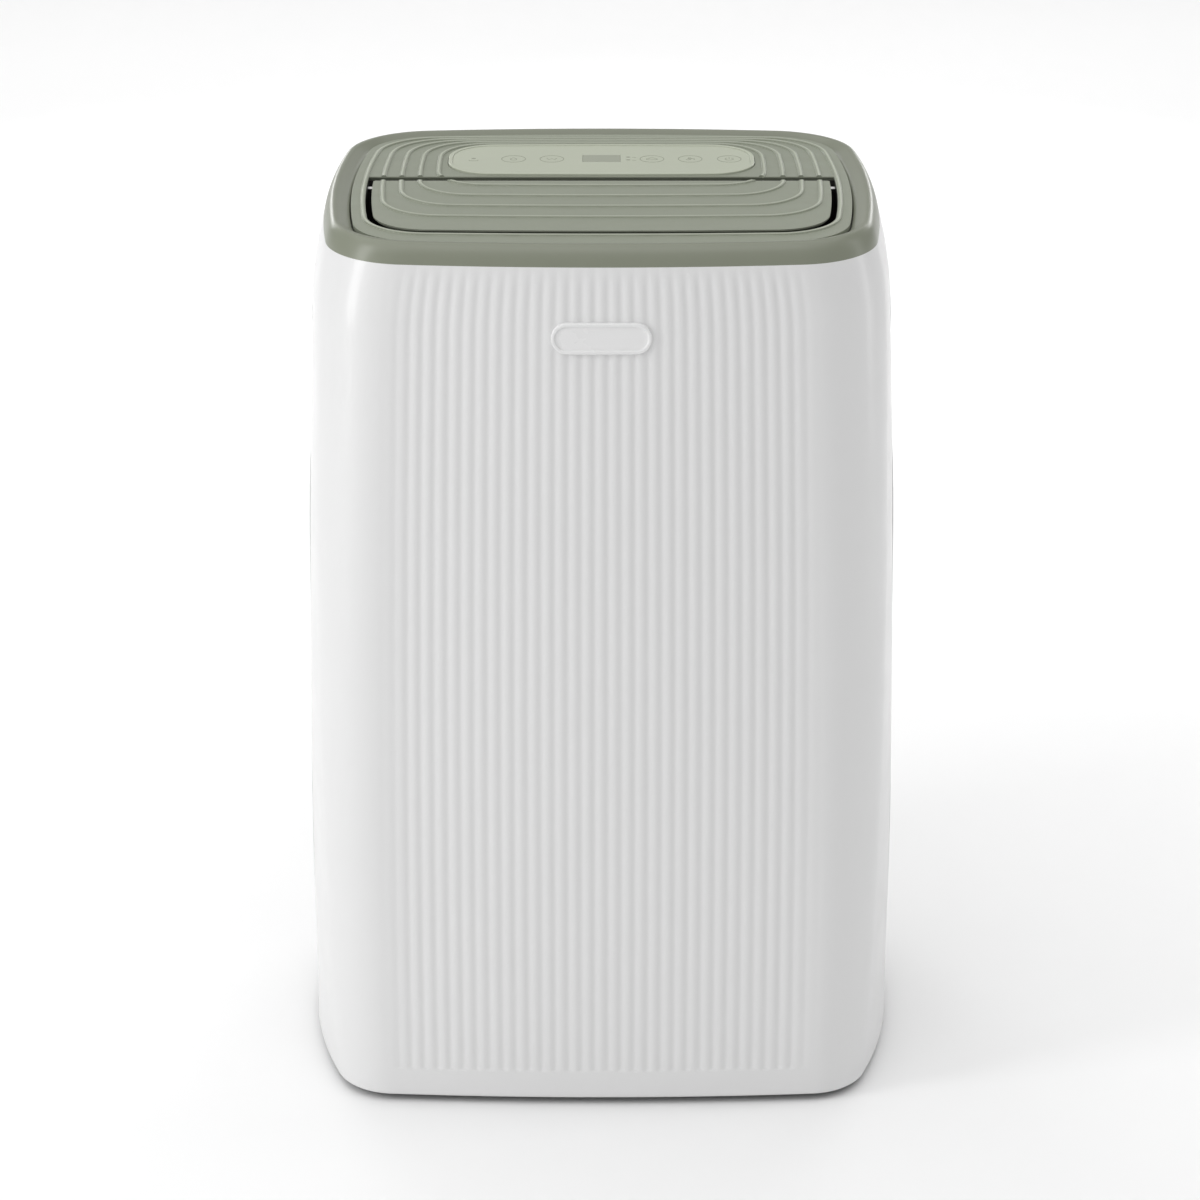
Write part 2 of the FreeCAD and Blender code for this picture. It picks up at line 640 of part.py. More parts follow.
def outlet_flap():
    blank = flap_blank(PLATE_FOOT, PLATE_TOP - Size.edge_lip, Size.undercut)
    skin = flap_blank(PLATE_TOP - Size.edge_lip, PLATE_TOP)
    above = flap_blank(PLATE_TOP - 0.6, Size.body_height)
    ribs = [raised_ring(number).common(above) for number in range(1, 5)]
    # The barrel stops short of the flap's bowed sides.
    half = Size.flap_width / 2 - Size.edge_lip
    barrel = Part.makeCylinder(Size.hinge_radius, 2 * half, Vector(-half, HINGE_Y, HINGE_Z),
                               Vector(1, 0, 0))
    flap = blank.fuse(skin).fuse(barrel).fuse(ribs)
    blank_flap = shaped("flap_blank", flap)
    ends = flap_pin_rods("flap_bore")
    piece(cut("flap", blank_flap, *ends), "outlet_flap")
    piece(group("pins", *flap_pin_rods("flap_pin")), "flap_pins")


def flap_pin_rods(name):
    grip = 10
    length = "flap_side_gap + duct_wall + %d" % grip
    return [rod(name + "_left", "x", ("-flap_width / 2 - flap_side_gap - duct_wall",) + HINGE,
                "flap_pin", length),
            rod(name + "_right", "x", ("flap_width / 2 - %d" % grip,) + HINGE, "flap_pin", length)]


def outlet_duct():
    outer = opening_solid(Size.duct_wall, DUCT_FOOT, PLATE_FOOT)
    inner = opening_solid(0.0, DUCT_FOOT + Size.duct_wall, PLATE_FOOT + 1.0)
    body = shaped("duct_blank", outer.cut(inner))
    mouth = block("duct_mouth", ("-fan_radius - scroll_wide + duct_wall",
                                 "-scroll_front + duct_wall", DUCT_EDGE + " - 1"),
                  ("2 * (fan_radius + scroll_wide - duct_wall)",
                   "scroll_front - scroll_back - 2 * duct_wall", "duct_wall + 2"))
    bearings = rod("duct_bearings", "x", ("-body_width / 2",) + HINGE, "flap_pin + running_gap",
                   "body_width")
    piece(cut("duct", body, mouth, bearings), "outlet_duct")


def outlet_guard():
    """A finger guard: long bars on two cross rails, held by the duct's walls."""
    bars = []
    front = -Size.flap_front + 22
    back = Size.flap_rear - 4
    half = Size.flap_width / 2 + Size.flap_side_gap - 18
    count = 9
    for number in range(count):
        level = front + (back - front) * number / (count - 1)
        bars.append(Part.makeBox(2 * half, 1.6, 6, Vector(-half, level, DUCT_FOOT + Size.guard_rise)))
    rails = 5
    for number in range(rails):
        across = -half + (2 * half - 2) * number / (rails - 1)
        bars.append(Part.makeBox(2, back - front + 1.6, 6,
                                 Vector(across, front, DUCT_FOOT + Size.guard_rise)))
    piece(shaped("guard", bars[0].fuse(bars[1:]).removeSplitter()), "outlet_guard")


def flap_motor():
    start = ("flap_width / 2 + flap_side_gap + duct_wall + 0.3", "flap_rear - hinge_radius",
             "body_height - plate_drop - hinge_radius - 8")
    can = rod("step_can", "x", start, 9.5, 6)
    plug = block("step_plug", (start[0], start[1] + " - 5", start[2] + " - 15"), (6, 10, 8))
    piece(joined("step_motor", can, plug), "flap_motor")


# ---------- fan ----------

def scroll_wire(inset, start, overrun=0.0):
    """Section of the scroll: two arcs that meet under the fan, a straight side and a slanting side."""
    shift = (Size.scroll_wide - Size.scroll_tight) / 2
    tight = Size.fan_radius + Size.scroll_tight - inset
    wide = Size.fan_radius + Size.scroll_wide - inset
    tongue = math.radians(50)
    top = DUCT_FOOT + overrun

    def spot(radius, turn, rise):
        return Vector(radius * math.cos(turn), start, FAN_LEVEL + rise + radius * math.sin(turn))

    bottom = spot(tight, -math.pi / 2, -shift)
    lip = spot(tight, tongue, -shift)
    right = Part.Arc(bottom, spot(tight, -0.2, -shift), lip).toShape()
    left_end = spot(wide, math.pi, shift)
    left = Part.Arc(left_end, spot(wide, -0.75 * math.pi, shift), bottom).toShape()
    corners = (lip, Vector(wide, start, top), Vector(-wide, start, top), left_end)
    lines = [Part.LineSegment(a, b).toShape() for a, b in zip(corners, corners[1:])]
    return Part.Wire([right] + lines + [left])


def fan_scroll():
    deep = Size.scroll_front - Size.scroll_back
    outer = Part.Face(scroll_wire(0.0, -Size.scroll_front)).extrude(Vector(0, deep, 0))
    inner = Part.Face(scroll_wire(Size.duct_wall, -Size.scroll_front + Size.duct_wall, 1.0))
    hollow = inner.extrude(Vector(0, deep - 2 * Size.duct_wall, 0))
    body = shaped("scroll_blank", outer.cut(hollow))
    eye = rod("scroll_eye", "y", (0, "-scroll_back - 2 * duct_wall", FAN_AXIS), "fan_eye + 8",
              "4 * duct_wall")
    hub = rod("scroll_hub", "y", (0, "-scroll_front - duct_wall", FAN_AXIS), "2.5 * shaft_radius",
              "3 * duct_wall")
    piece(cut("scroll", body, eye, hub), "fan_scroll")
    ring = rod("inlet_outer", "y", (0, "-scroll_back - duct_wall", FAN_AXIS), "fan_eye + 8", 6)
    bore = rod("inlet_bore", "y", (0, "-scroll_back - 2 * duct_wall", FAN_AXIS), "fan_eye + 2", 12)
    piece(cut("inlet", ring, bore), "fan_inlet_ring")


def fan():
    wheel = new_body("impeller")
    drawing = sketch(wheel, "XZ_Plane", "scroll_front - 10")
    draw_circle(drawing, 0, FAN_AXIS, "fan_radius")
    draw_circle(drawing, 0, FAN_AXIS, "shaft_radius")
    disc = pad(wheel, drawing, 2)
    drawing = sketch(wheel, "XZ_Plane", "scroll_front - 10")
    draw_circle(drawing, 0, FAN_AXIS, "shaft_radius + 7")
    draw_circle(drawing, 0, FAN_AXIS, "shaft_radius")
    hub = pad(wheel, drawing, 20)
    hub.Reversed = True
    doc.recompute()
    blades = []
    width = Size.scroll_front - Size.scroll_back - 24
    start = -Size.scroll_front + 10
    for number in range(int(Size.blade_count)):
        blade = Part.makeBox(1.4, width, 15, Vector(-0.7, start, -15))
        blade.rotate(Vector(), Vector(0, 1, 0), 35)
        blade.translate(Vector(0, 0, Size.fan_radius - 2))
        blade.rotate(Vector(), Vector(0, 1, 0), 360.0 * number / Size.blade_count)
        blade.translate(Vector(0, 0, FAN_LEVEL))
        blades.append(blade)
    centre = Vector(0, start + width - 3, FAN_LEVEL)
    band = Part.makeCylinder(Size.fan_radius, 3, centre, Vector(0, 1, 0))
    band = band.cut(Part.makeCylinder(Size.fan_radius - 12, 3, centre, Vector(0, 1, 0)))
    ring = shaped("blade_ring", band.fuse(blades))
    piece(joined("impeller_whole", wheel, ring), "fan_impeller")
    piece(rod("shaft", "y", (0, "-scroll_front - 12", FAN_AXIS), "shaft_radius", 40), "fan_shaft")
    can = rod("motor_can", "y", (0, "-scroll_front - motor_length - 1", FAN_AXIS), "motor_radius",
              "motor_length")
    boss = rod("motor_boss", "y", (0, "-scroll_front - 1.1", FAN_AXIS), "2 * shaft_radius", 1.1)
    bore = rod("motor_bore", "y", (0, "-scroll_front - 14", FAN_AXIS), "shaft_radius + running_gap", 20)
    piece(cut("motor", joined("motor_body", can, boss), bore), "fan_motor")


# ---------- base and castors ----------

CASTORS = {"front_left": (-1, -1), "front_right": (1, -1), "rear_left": (-1, 1), "rear_right": (1, 1)}


def castor_spot(across, back):
    return ("%d * (body_width / 2 - castor_inset)" % across, "%d * (body_depth / 2 - castor_inset)" % back)


def base_pan():
    low = Size.floor_gap + 1
    inset = Size.wall + Size.fit_gap
    floor = prism(casing_section(Size.floor_gap, inset, low - Size.floor_gap), Size.pan_wall)
    inner = prism(casing_section(Size.floor_gap, inset + Size.pan_thick,
                                 low + Size.pan_thick - Size.floor_gap),
                  Size.pan_wall)
    pan = shaped("pan_blank", floor.cut(inner).common(casing_solid(inset, 0.0)))
    added = []
    removed = []
    for name, (across, back) in CASTORS.items():
        x, y = castor_spot(across, back)
        added.append(rod("well_" + name, "z", (x, y, PAN_FOOT), "well_radius + 2", "well_height + 3"))
        added.append(rod("socket_" + name, "z", (x, y, PAN_FOOT), "2 * stem_radius",
                         "well_height + stem_length"))
        removed.append(rod("hollow_" + name, "z", (x, y, PAN_FOOT + " - 5"), "well_radius",
                           "well_height + 5"))
        removed.append(rod("bore_" + name, "z", (x, y, PAN_FOOT), "stem_radius + running_gap",
                           "well_height + stem_length - 2"))
    for number, spot in enumerate(grommet_spots()):
        added.append(rod("post%d" % number, "z", (*spot, PAN_FOOT), "grommet_radius",
                         "post_height - floor_gap - 1"))
    piece(cut("pan", joined("pan_filled", pan, *added), *removed), "base_pan")


def grommet_spots():
    turns = (30, 150, 270)
    return [("compressor_x + grommet_circle * cos(%d deg)" % turn,
             "compressor_y + grommet_circle * sin(%d deg)" % turn)
            for turn in turns]


def castor(name, across, back):
    """Swivel fork with its stem, an axle and a wheel that trails behind the swivel axis."""
    x, y = castor_spot(across, back)
    axle_y = "(%s + castor_trail)" % y
    cheek = "(wheel_width / 2 + 0.4)"
    roof = "(2 * wheel_radius + 1)"
    body = new_body("fork_" + name)
    drawing = sketch(body, "XY_Plane", roof)
    draw_circle(drawing, 0, 0, "stem_radius * 2.2")
    pad(body, drawing, "floor_gap + 1 + well_height - 0.6 - %s" % roof)
    drawing = sketch(body, "XY_Plane", roof)
    draw_rectangle(drawing, "-%s - fork_wall" % cheek, cheek + " + fork_wall", -7, "castor_trail + 6")
    pad(body, drawing, 2)
    for side in ("-%s - fork_wall" % cheek, cheek):
        drawing = sketch(body, "YZ_Plane", side)
        draw_lines(drawing, ((-7, roof), ("castor_trail - 5", "wheel_radius - 4"),
                             ("castor_trail + 5", "wheel_radius - 4"), ("castor_trail + 6", roof)))
        pad(body, drawing, "fork_wall")
    drawing = sketch(body, "XY_Plane", "floor_gap + 1 + well_height - 0.7")
    draw_circle(drawing, 0, 0, "stem_radius")
    pad(body, drawing, "stem_length - 3")
    drawing = sketch(body, "YZ_Plane", "-wheel_width - fork_wall")
    draw_circle(drawing, "castor_trail", "wheel_radius", "axle_radius")
    pocket(body, drawing, "2 * (wheel_width + fork_wall)", True)
    place(body, (x, y, 0))
    piece(body, "castor_fork_" + name)
    piece(rod("axle_" + name, "x", (x + " - %s - fork_wall" % cheek, axle_y, "wheel_radius"), "axle_radius",
              "2 * (%s + fork_wall)" % cheek), "castor_axle_" + name)
    wheel = new_body("wheel_" + name)
    drawing = sketch(wheel, "XY_Plane")
    bore = "axle_radius + running_gap"
    half = "wheel_width / 2"
    draw_lines(drawing, ((bore, "-%s" % half), ("wheel_radius - 4", "-%s" % half),
                         ("wheel_radius - 3", "-%s + 1" % half), ("wheel_radius - 1", "-%s + 1" % half),
                         ("wheel_radius", "-%s + 2" % half), ("wheel_radius", half + " - 2"),
                         ("wheel_radius - 1", half + " - 1"), ("wheel_radius - 3", half + " - 1"),
                         ("wheel_radius - 4", half), (bore, half)))
    revolve(wheel, drawing)
    wheel.Placement = Placement(Vector(), Rotation(Vector(0, 0, 1), 90))
    place(wheel, (x, axle_y, "wheel_radius"))
    piece(wheel, "castor_wheel_" + name)


# ---------- water ----------


def tank(wall):
    """Open tub, and the face that closes the rear shell's opening, with a finger pull."""
    tub = new_body("tub")
    drawing = sketch(tub, "XY_Plane", TANK_FOOT)
    draw_rectangle(drawing, "-" + TANK_SIDE, TANK_SIDE, TANK_FRONT, TANK_BACK)
    round_edges(tub, pad(tub, drawing, "tank_height"), upright, "tub_corner")
    hollow = new_body("tub_hollow")
    drawing = sketch(hollow, "XY_Plane", TANK_FOOT + " + tank_wall")
    draw_rectangle(drawing, "-%s + tank_wall" % TANK_SIDE, TANK_SIDE + " - tank_wall",
                   TANK_FRONT + " + tank_wall",
                   TANK_BACK + " - tank_wall")
    round_edges(hollow, pad(hollow, drawing, "tank_height"), upright, "tub_corner - tank_wall")
    piece(cut("tub_whole", tub, hollow), "water_tank")
    cover = block("face_area", ("-tank_width / 2 + panel_gap", 0, "tank_foot + panel_gap"),
                  ("tank_width - 2 * panel_gap", "body_depth", TANK_OPEN + " - 2 * panel_gap"))
    skin = overlap("face_skin", wall, cover)
    level = "tank_foot + tank_height + tank_headroom - 40"
    pull = block("face_pull", ("-pull_width / 2", "body_depth / 2 - 30", level),
                 ("pull_width", 30, "pull_height"))
    back = block("face_back", ("-pull_width / 2 - 3", TANK_BACK, level + " - 3"), ("pull_width + 6", 2,
                                                                               "pull_height + 6"))
    web = []
    for side in (-1, 1):
        web.append(block("face_side%d" % side, ("%d * (pull_width / 2 + 1.5) - 1.5" % side, TANK_BACK,
                                                level + " - 3"), (3, "tank_recess - 3", "pull_height + 6")))
    for name, rise in (("sill", "-3"), ("roof", "pull_height")):
        web.append(block("face_" + name, ("-pull_width / 2 - 3", TANK_BACK, level + " + " + rise),
                         ("pull_width + 6", "tank_recess - 3", 3)))
    piece(joined("face", cut("face_open", skin, pull), back, *web), "tank_face")


def tank_lid():
    low = TANK_FOOT + " + tank_height"
    body = new_body("lid")
    drawing = sketch(body, "XY_Plane", low)
    draw_rectangle(drawing, "-" + TANK_SIDE, TANK_SIDE, TANK_FRONT, TANK_BACK)
    plate = pad(body, drawing, "lid_thick")
    round_edges(body, plate, upright, "tub_corner")
    inlet = rod("lid_inlet", "z", (*SPOUT, low + " - 5"), 14, 15)
    ears = []
    for side in (-1, 1):
        left = "%d * (tank_width / 2 - 16) - 4" % side
        ears.append(block("lid_ear%d" % side, (left, HANDLE_Y + " - 7", low), (8, 14, "lid_thick + 12")))
    bores = rod("lid_bores", "x", ("-tank_width / 2", HANDLE_Y, HANDLE_Z), "2 + running_gap", "tank_width")
    piece(cut("lid_whole", joined("lid_ears", body, *ears), inlet, bores), "tank_lid")


def tank_handle():
    """Bail handle: two arms on pins through the lid's ears, joined by a bar; it lies flat at rest."""
    parts = []
    inner = "(tank_width / 2 - 32)"
    for side in (-1, 1):
        start = "%d * %s - 4" % (side, inner)
        parts.append(block("handle_arm%d" % side, (start, HANDLE_Y + " - 4", HANDLE_Z + " - handle_bar"),
                           (8, "handle_reach + 4", "2 * handle_bar")))
        pin = "%d * (tank_width / 2 - 22) - 10" % side
        parts.append(rod("handle_pin%d" % side, "x", (pin, HANDLE_Y, HANDLE_Z), 2, 20))
    parts.append(rod("handle_bar_rod", "x", ("-" + inner, HANDLE_Y + " + handle_reach", HANDLE_Z),
                     "handle_bar",
                     "2 * " + inner))
    piece(joined("handle", *parts), "tank_handle")


def tank_float():
    arm = block("float_beam", ("%d - float_arm" % FLOAT_X, HANDLE_Y + " - 3", FLOAT_Z + " - 3"),
                ("float_arm", 6, 6))
    eye = rod("float_eye", "y", (FLOAT_X, HANDLE_Y + " - 6", FLOAT_Z), 5, 12)
    bulb = block("float_bulb", ("%d - float_arm - 20" % FLOAT_X, HANDLE_Y + " - 16", FLOAT_Z + " - 24"),
                 (40, 32, 18))
    stalk = block("float_stalk", ("%d - float_arm" % FLOAT_X, HANDLE_Y + " - 3", FLOAT_Z + " - 8"),
                  (6, 6, 8))
    bore = rod("float_bore", "y", (FLOAT_X, HANDLE_Y + " - 7", FLOAT_Z), "1.5 + running_gap", 14)
    piece(cut("float_whole", joined("float_parts", arm, eye, bulb, stalk), bore), "tank_float")
    hanger = []
    for side in (-1, 1):
        hanger.append(block("hanger%d" % side, ("%d - 5" % FLOAT_X, HANDLE_Y + " + %d * 8.5 - 2" % side,
                                                 FLOAT_Z + " - 5"),
                                                 (10, 4, "tank_foot + 2 + tank_height - %s + 5"
                                                                     % FLOAT_Z)))
    pin = rod("hanger_pin", "y", (FLOAT_X, HANDLE_Y + " - 10.5", FLOAT_Z), 1.5, 21)
    piece(joined("hanger", pin, *hanger), "float_bracket")


def drip_tray():
    x = "body_width / 2 - 22"
    front = "-4"
    tray = block("tray_out", ("-(%s)" % x, front, TRAY_FOOT),
                 ("2 * (%s)" % x, "filter_front - 2", "tray_rim"))
    well = block("tray_in", ("-(%s) + 2" % x, front + " + 2", TRAY_FOOT + " + 3"),
                 ("2 * (%s) - 4" % x, "filter_front - 6", "tray_rim"))
    spout = rod("tray_spout", "z", (*SPOUT, TRAY_FOOT + " - 8"), 8, 9)
    bore = rod("tray_bore", "z", (*SPOUT, TRAY_FOOT + " - 9"), 6, 20)
    piece(cut("tray", joined("tray_blank", cut("tray_open", tray, well), spout), bore), "drip_tray")


def bay_wall():
    x = "body_width / 2 - 16"
    low = "floor_gap + 1 + pan_thick + 0.2"
    web = block("bay_web", ("-(%s)" % x, 4, low),
                ("2 * (%s)" % x, 2.5, "%s - (%s) - 0.2" % (TRAY_FOOT, low)))
    piece(web, "bay_wall")
    piece(block("switch_body", (FLOAT_X - 62, 6.5, FLOAT_Z + " + 12"), (24, "%s - 7.1" % TANK_FRONT, 12)),
          "level_switch")


# ---------- refrigeration ----------

def coil(name, front, tubes, first_side):
    """A block of upright fins on end plates, and a tube that runs back and forth through it."""
    low = TRAY_LOW + 8
    half = Size.coil_width / 2
    fins = []
    count = int(Size.coil_width / Size.fin_pitch)
    for number in range(count + 1):
        across = -half + (2 * half - 1.0) * number / count
        fins.append(Part.makeBox(1.0, Size.coil_depth, Size.coil_height, Vector(across, front, low)))
    middle = front + Size.coil_depth / 2
    gap = Size.coil_height / tubes
    runs = []
    for number in range(tubes):
        level = low + gap * (number + 0.5)
        runs.append(Part.makeCylinder(Size.tube_radius, 2 * half + 8, Vector(-half - 4, middle, level),
                                      Vector(1, 0, 0)))
    holes = Part.makeCompound(runs)
    fin_stack = Part.makeCompound([fin.cut(holes) for fin in fins])
    piece(shaped(name + "_stack", fin_stack), name + "_fins")
    bends = []
    for number in range(tubes - 1):
        side = first_side if number % 2 == 0 else -first_side
        level = low + gap * (number + 1)
        start = Vector(side * (half + 4), middle, level)
        bend = Part.makeTorus(gap / 2, Size.tube_radius, start, Vector(0, 1, 0))
        near_bend = Part.makeBox(gap, 4 * Size.tube_radius, 2 * gap,
                            start + Vector(0 if side > 0 else -gap, -2 * Size.tube_radius, -gap))
        bends.append(bend.common(near_bend))
    piece(shaped(name + "_run", runs[0].fuse(runs[1:] + bends).removeSplitter()), name + "_tubes")
    return low, gap, middle, half


def pipe(points, radius, bend):
    """A round pipe through the points, with an arc of the bend's radius at each corner."""
    spots = [Vector(*point) for point in points]
    edges = []
    start = spots[0]
    for before, corner, after in zip(spots, spots[1:], spots[2:]):
        back = (before - corner).normalize()
        on = (after - corner).normalize()
        half = back.getAngle(on) / 2
        cut_back = bend / math.tan(half)
        first = corner + back * cut_back
        last = corner + on * cut_back
        inward = (back + on).normalize()
        middle = corner + inward * (bend / math.sin(half) - bend)
        edges.append(Part.LineSegment(start, first).toShape())
        edges.append(Part.Arc(first, middle, last).toShape())
        start = last
    edges.append(Part.LineSegment(start, spots[-1]).toShape())
    path = Part.Wire(edges)
    direction = (spots[1] - spots[0]).normalize()
    section = Part.Wire(Part.makeCircle(radius, spots[0], direction))
    return path.makePipeShell([section], True, False)


def compressor():
    body = new_body("compressor_shell")
    drawing = sketch(body, "XZ_Plane")
    draw_lines(drawing, ((0, 0), ("compressor_radius + 12", 0), ("compressor_radius + 12", 3),
                         ("compressor_radius", 3), ("compressor_radius", "0.45 * compressor_height"),
                         ("compressor_radius + 2", "0.45 * compressor_height"),
                         ("compressor_radius + 2", "0.45 * compressor_height + 4"),
                         ("compressor_radius", "0.45 * compressor_height + 4"),
                         ("compressor_radius", "compressor_height - 22"),
                         ("compressor_radius - 14", "compressor_height - 5"), (14, "compressor_height"),
                         (0, "compressor_height")))
    revolve(body, drawing)
    place(body, ("compressor_x", "compressor_y", "post_height + grommet_height"))
    box = block("terminal_box", ("compressor_x - 15", "compressor_y + compressor_radius - 4",
                                 "post_height + grommet_height + 60"), (30, 12, 34))
    piece(joined("compressor_whole", body, box), "compressor")
    feet = [rod("grommet%d" % number, "z", (*spot, "post_height"), "grommet_radius", "grommet_height")
            for number, spot in enumerate(grommet_spots())]
    piece(group("grommets", *feet), "compressor_grommets")


def refrigerant_circuit():
    evaporator = coil("evaporator", Size.evaporator_front, 9, 1)
    condenser = coil("condenser", Size.condenser_front, 9, -1)
    top = Size.post_height + Size.grommet_height + Size.compressor_height
    x, y = Size.compressor_x, Size.compressor_y
    r = Size.pipe_radius
    bend = 2.5 * r
    end = -condenser[3] - 4
    high = condenser[0] + condenser[1] * 8.5
    low = evaporator[0] + evaporator[1] * 0.5
    side = end - 28
    piece(shaped("discharge", pipe(((x - 8, y, top), (x - 8, y, top + 14), (side, y, top + 14),
                                    (side, y, high), (side, condenser[2], high), (end, condenser[2], high)),
                                   r, bend)), "discharge_pipe")
    tall = 110
    ax, ay = x + Size.compressor_radius + 30, y + 4
    base = top - tall - 40
    piece(joined("accumulator", rod("accumulator_can", "z", (ax, ay, base), 18, tall),
                 rod("accumulator_neck", "z", (ax, ay, base - 10), 6, tall + 16)), "suction_accumulator")
    piece(shaped("suction", pipe(((end, evaporator[2], low), (side - 12, evaporator[2], low),
                                  (side - 12, -22, low),
                                  (side - 12, -22, top + 2), (ax, -22, top + 2), (ax, ay, top + 2),
                                  (ax, ay, base + tall + 6)), r, 2 * r)), "suction_pipe")
    dx, dy, dz = 66, -26, 100
    piece(joined("drier", rod("drier_can", "z", (dx, dy, dz), 9, 64),
                 rod("drier_necks", "z", (dx, dy, dz - 8), r, 80)), "filter_drier")
    right = condenser[3] + 4
    piece(shaped("liquid", pipe(((right, condenser[2], low), (right + 18, condenser[2], low),
                                 (right + 18, -14, low), (right + 18, -14, dz + 92), (dx, -14, dz + 92),
                                 (dx, dy, dz + 92), (dx, dy, dz + 72)), r * 0.7, 2 * r * 0.7)),
                                 "liquid_pipe")
    thin = 1.6
    high_end = evaporator[0] + evaporator[1] * 8.5
    piece(shaped("capillary", pipe(((dx, dy, dz - 8), (dx, dy, dz - 24), (right + 32, dy, dz - 24),
                                    (right + 32, dy, high_end), (right + 32, evaporator[2], high_end),
                                    (right, evaporator[2], high_end)), thin, 6)), "capillary_tube")


# ---------- rear grille and filter ----------

def rear_grille(wall):
    cover = block("grille_area", ("-grille_width / 2 + panel_gap", 0, GRILLE_FOOT + " + panel_gap"),
                  ("grille_width - 2 * panel_gap", "body_depth", "grille_height - 2 * panel_gap"))
    skin = overlap("grille_skin", wall, cover)
    slots = []
    margin = 14
    count = int((Size.grille_height - 2 * margin) // Size.slot_pitch)
    columns = 4
    span = (Size.grille_width - 2 * margin) / columns
    for number in range(count):
        level = GRILLE_LOW + margin + Size.slot_pitch * (number + 0.5) - Size.slot_height / 2
        for column in range(columns):
            left = -Size.grille_width / 2 + margin + span * column + 3
            slots.append(Part.makeBox(span - 6, Size.body_depth, Size.slot_height, Vector(left, 10, level)))
    piece(cut("grille", skin, shaped("grille_slots", Part.makeCompound(slots))), "rear_grille")


def air_filter():
    """Frame with its mesh, and four posts that join it to the grille in front of it."""
    inset = 8
    low = GRILLE_FOOT + " + %d" % inset
    half = "(grille_width / 2 - %d)" % inset
    tall = "grille_height - %d" % (2 * inset)
    outer = block("filter_out", ("-" + half, "filter_front", low), ("2 * " + half, "filter_thick", tall))
    bays = []
    across = 3
    up = 2
    for column in range(across):
        for level in range(up):
            bay_width = "((2 * %s - 24) / %d)" % (half, across)
            bay_height = "((%s - 18) / %d)" % (tall, up)
            left = "-%s + 6 + %d * (%s + 6)" % (half, column, bay_width)
            foot = "%s + 6 + %d * (%s + 6)" % (low, level, bay_height)
            bays.append(block("filter_bay%d%d" % (column, level), (left, "filter_front - 1", foot),
                              (bay_width, "filter_thick + 2", bay_height)))
    mesh = block("mesh_sheet", ("-%s + 3" % half, "filter_front + filter_thick / 2 - 0.4", low + " + 3"),
                 ("2 * %s - 6" % half, 0.8, tall + " - 6"))
    inside = shaped("casing_inside", casing_solid(Size.wall))
    posts = []
    for side in (-1, 1):
        for end in (-1, 1):
            up = "grille_height / 2 + %d * (grille_height / 2 - %d) - 3" % (end, inset + 6)
            corner = ("%d * (%s - 6) - 3" % (side, half), "filter_front + filter_thick - 1",
                      GRILLE_FOOT + " + " + up)
            post = block("filter_post%d%d" % (side, end), corner, (6, "body_depth / 2", 6))
            posts.append(overlap("filter_peg%d%d" % (side, end), post, inside))
    piece(joined("filter_whole", cut("filter", outer, mesh, *bays), *posts), "filter_frame")
    piece(mesh, "filter_mesh")


# ---------- electrics and fasteners ----------

def electrics():
    piece(block("box_out", ("body_width / 2 - 130", "-body_depth / 2 + 26", "floor_gap + 55"),
                (96, 52, 116)),
          "power_box")
    x = "tank_width / 3"
    height = "inlet_height"
    back = "(body_depth / 2)"
    gland = rod("gland_body", "y", (x, back + " - 22", height), "inlet_radius", 21)
    flange = rod("gland_flange", "y", (x, back + " - 2", height), "inlet_radius + 3", 1.8)
    nut = rod("gland_nut", "y", (x, back + " - 14", height), "inlet_radius + 2", 5)
    bore = rod("gland_bore", "y", (x, back + " - 24", height), 4, 30)
    piece(cut("gland", joined("gland_parts", gland, flange, nut), bore), "cord_inlet")


wall = casing()
side_grips()
badge()
top_rim()
top_plate()
controls()
outlet_flap()
outlet_duct()
outlet_guard()
flap_motor()
fan_scroll()
fan()
base_pan()
for name, (across, back) in CASTORS.items():
    castor(name, across, back)
tank(wall)
tank_lid()
tank_handle()
tank_float()
drip_tray()
bay_wall()
compressor()
refrigerant_circuit()
rear_grille(wall)
air_filter()
electrics()
doc.recompute()

for thing in doc.Objects:
    if "Invalid" in thing.State or "Error" in thing.State:
        raise ValueError("%s failed: %s" % (thing.Label, thing.State))
for thing in pieces:
    if thing.Shape.isNull() or not thing.Shape.isValid() or not thing.Shape.Solids:
        raise ValueError("%s has no valid solid" % thing.Label)

os.makedirs("parts", exist_ok=True)
for thing in pieces:
    thing.Shape.exportStep("parts/%s.step" % thing.Label)
    print("%-28s solids %3d  volume %10.0f" % (thing.Label, len(thing.Shape.Solids), thing.Shape.Volume))
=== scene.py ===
import json
import math

import bmesh
import bpy
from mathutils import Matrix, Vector


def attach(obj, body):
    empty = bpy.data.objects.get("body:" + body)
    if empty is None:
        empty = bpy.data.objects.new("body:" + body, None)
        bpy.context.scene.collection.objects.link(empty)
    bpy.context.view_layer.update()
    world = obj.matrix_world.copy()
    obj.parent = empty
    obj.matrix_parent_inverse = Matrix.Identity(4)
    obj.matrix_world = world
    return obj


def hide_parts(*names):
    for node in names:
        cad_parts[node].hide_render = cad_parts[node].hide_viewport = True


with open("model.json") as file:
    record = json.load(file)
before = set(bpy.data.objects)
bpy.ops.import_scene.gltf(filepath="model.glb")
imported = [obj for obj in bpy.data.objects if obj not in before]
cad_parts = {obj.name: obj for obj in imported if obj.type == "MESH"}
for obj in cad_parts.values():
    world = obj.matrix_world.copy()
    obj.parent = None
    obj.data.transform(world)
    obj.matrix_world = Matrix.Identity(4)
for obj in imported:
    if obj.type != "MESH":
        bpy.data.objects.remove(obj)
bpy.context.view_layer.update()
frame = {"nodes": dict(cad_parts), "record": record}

MM = 0.001
nodes = frame["nodes"]
scene = bpy.context.scene

# ---------- sizes of the casing and top, in millimetres ----------

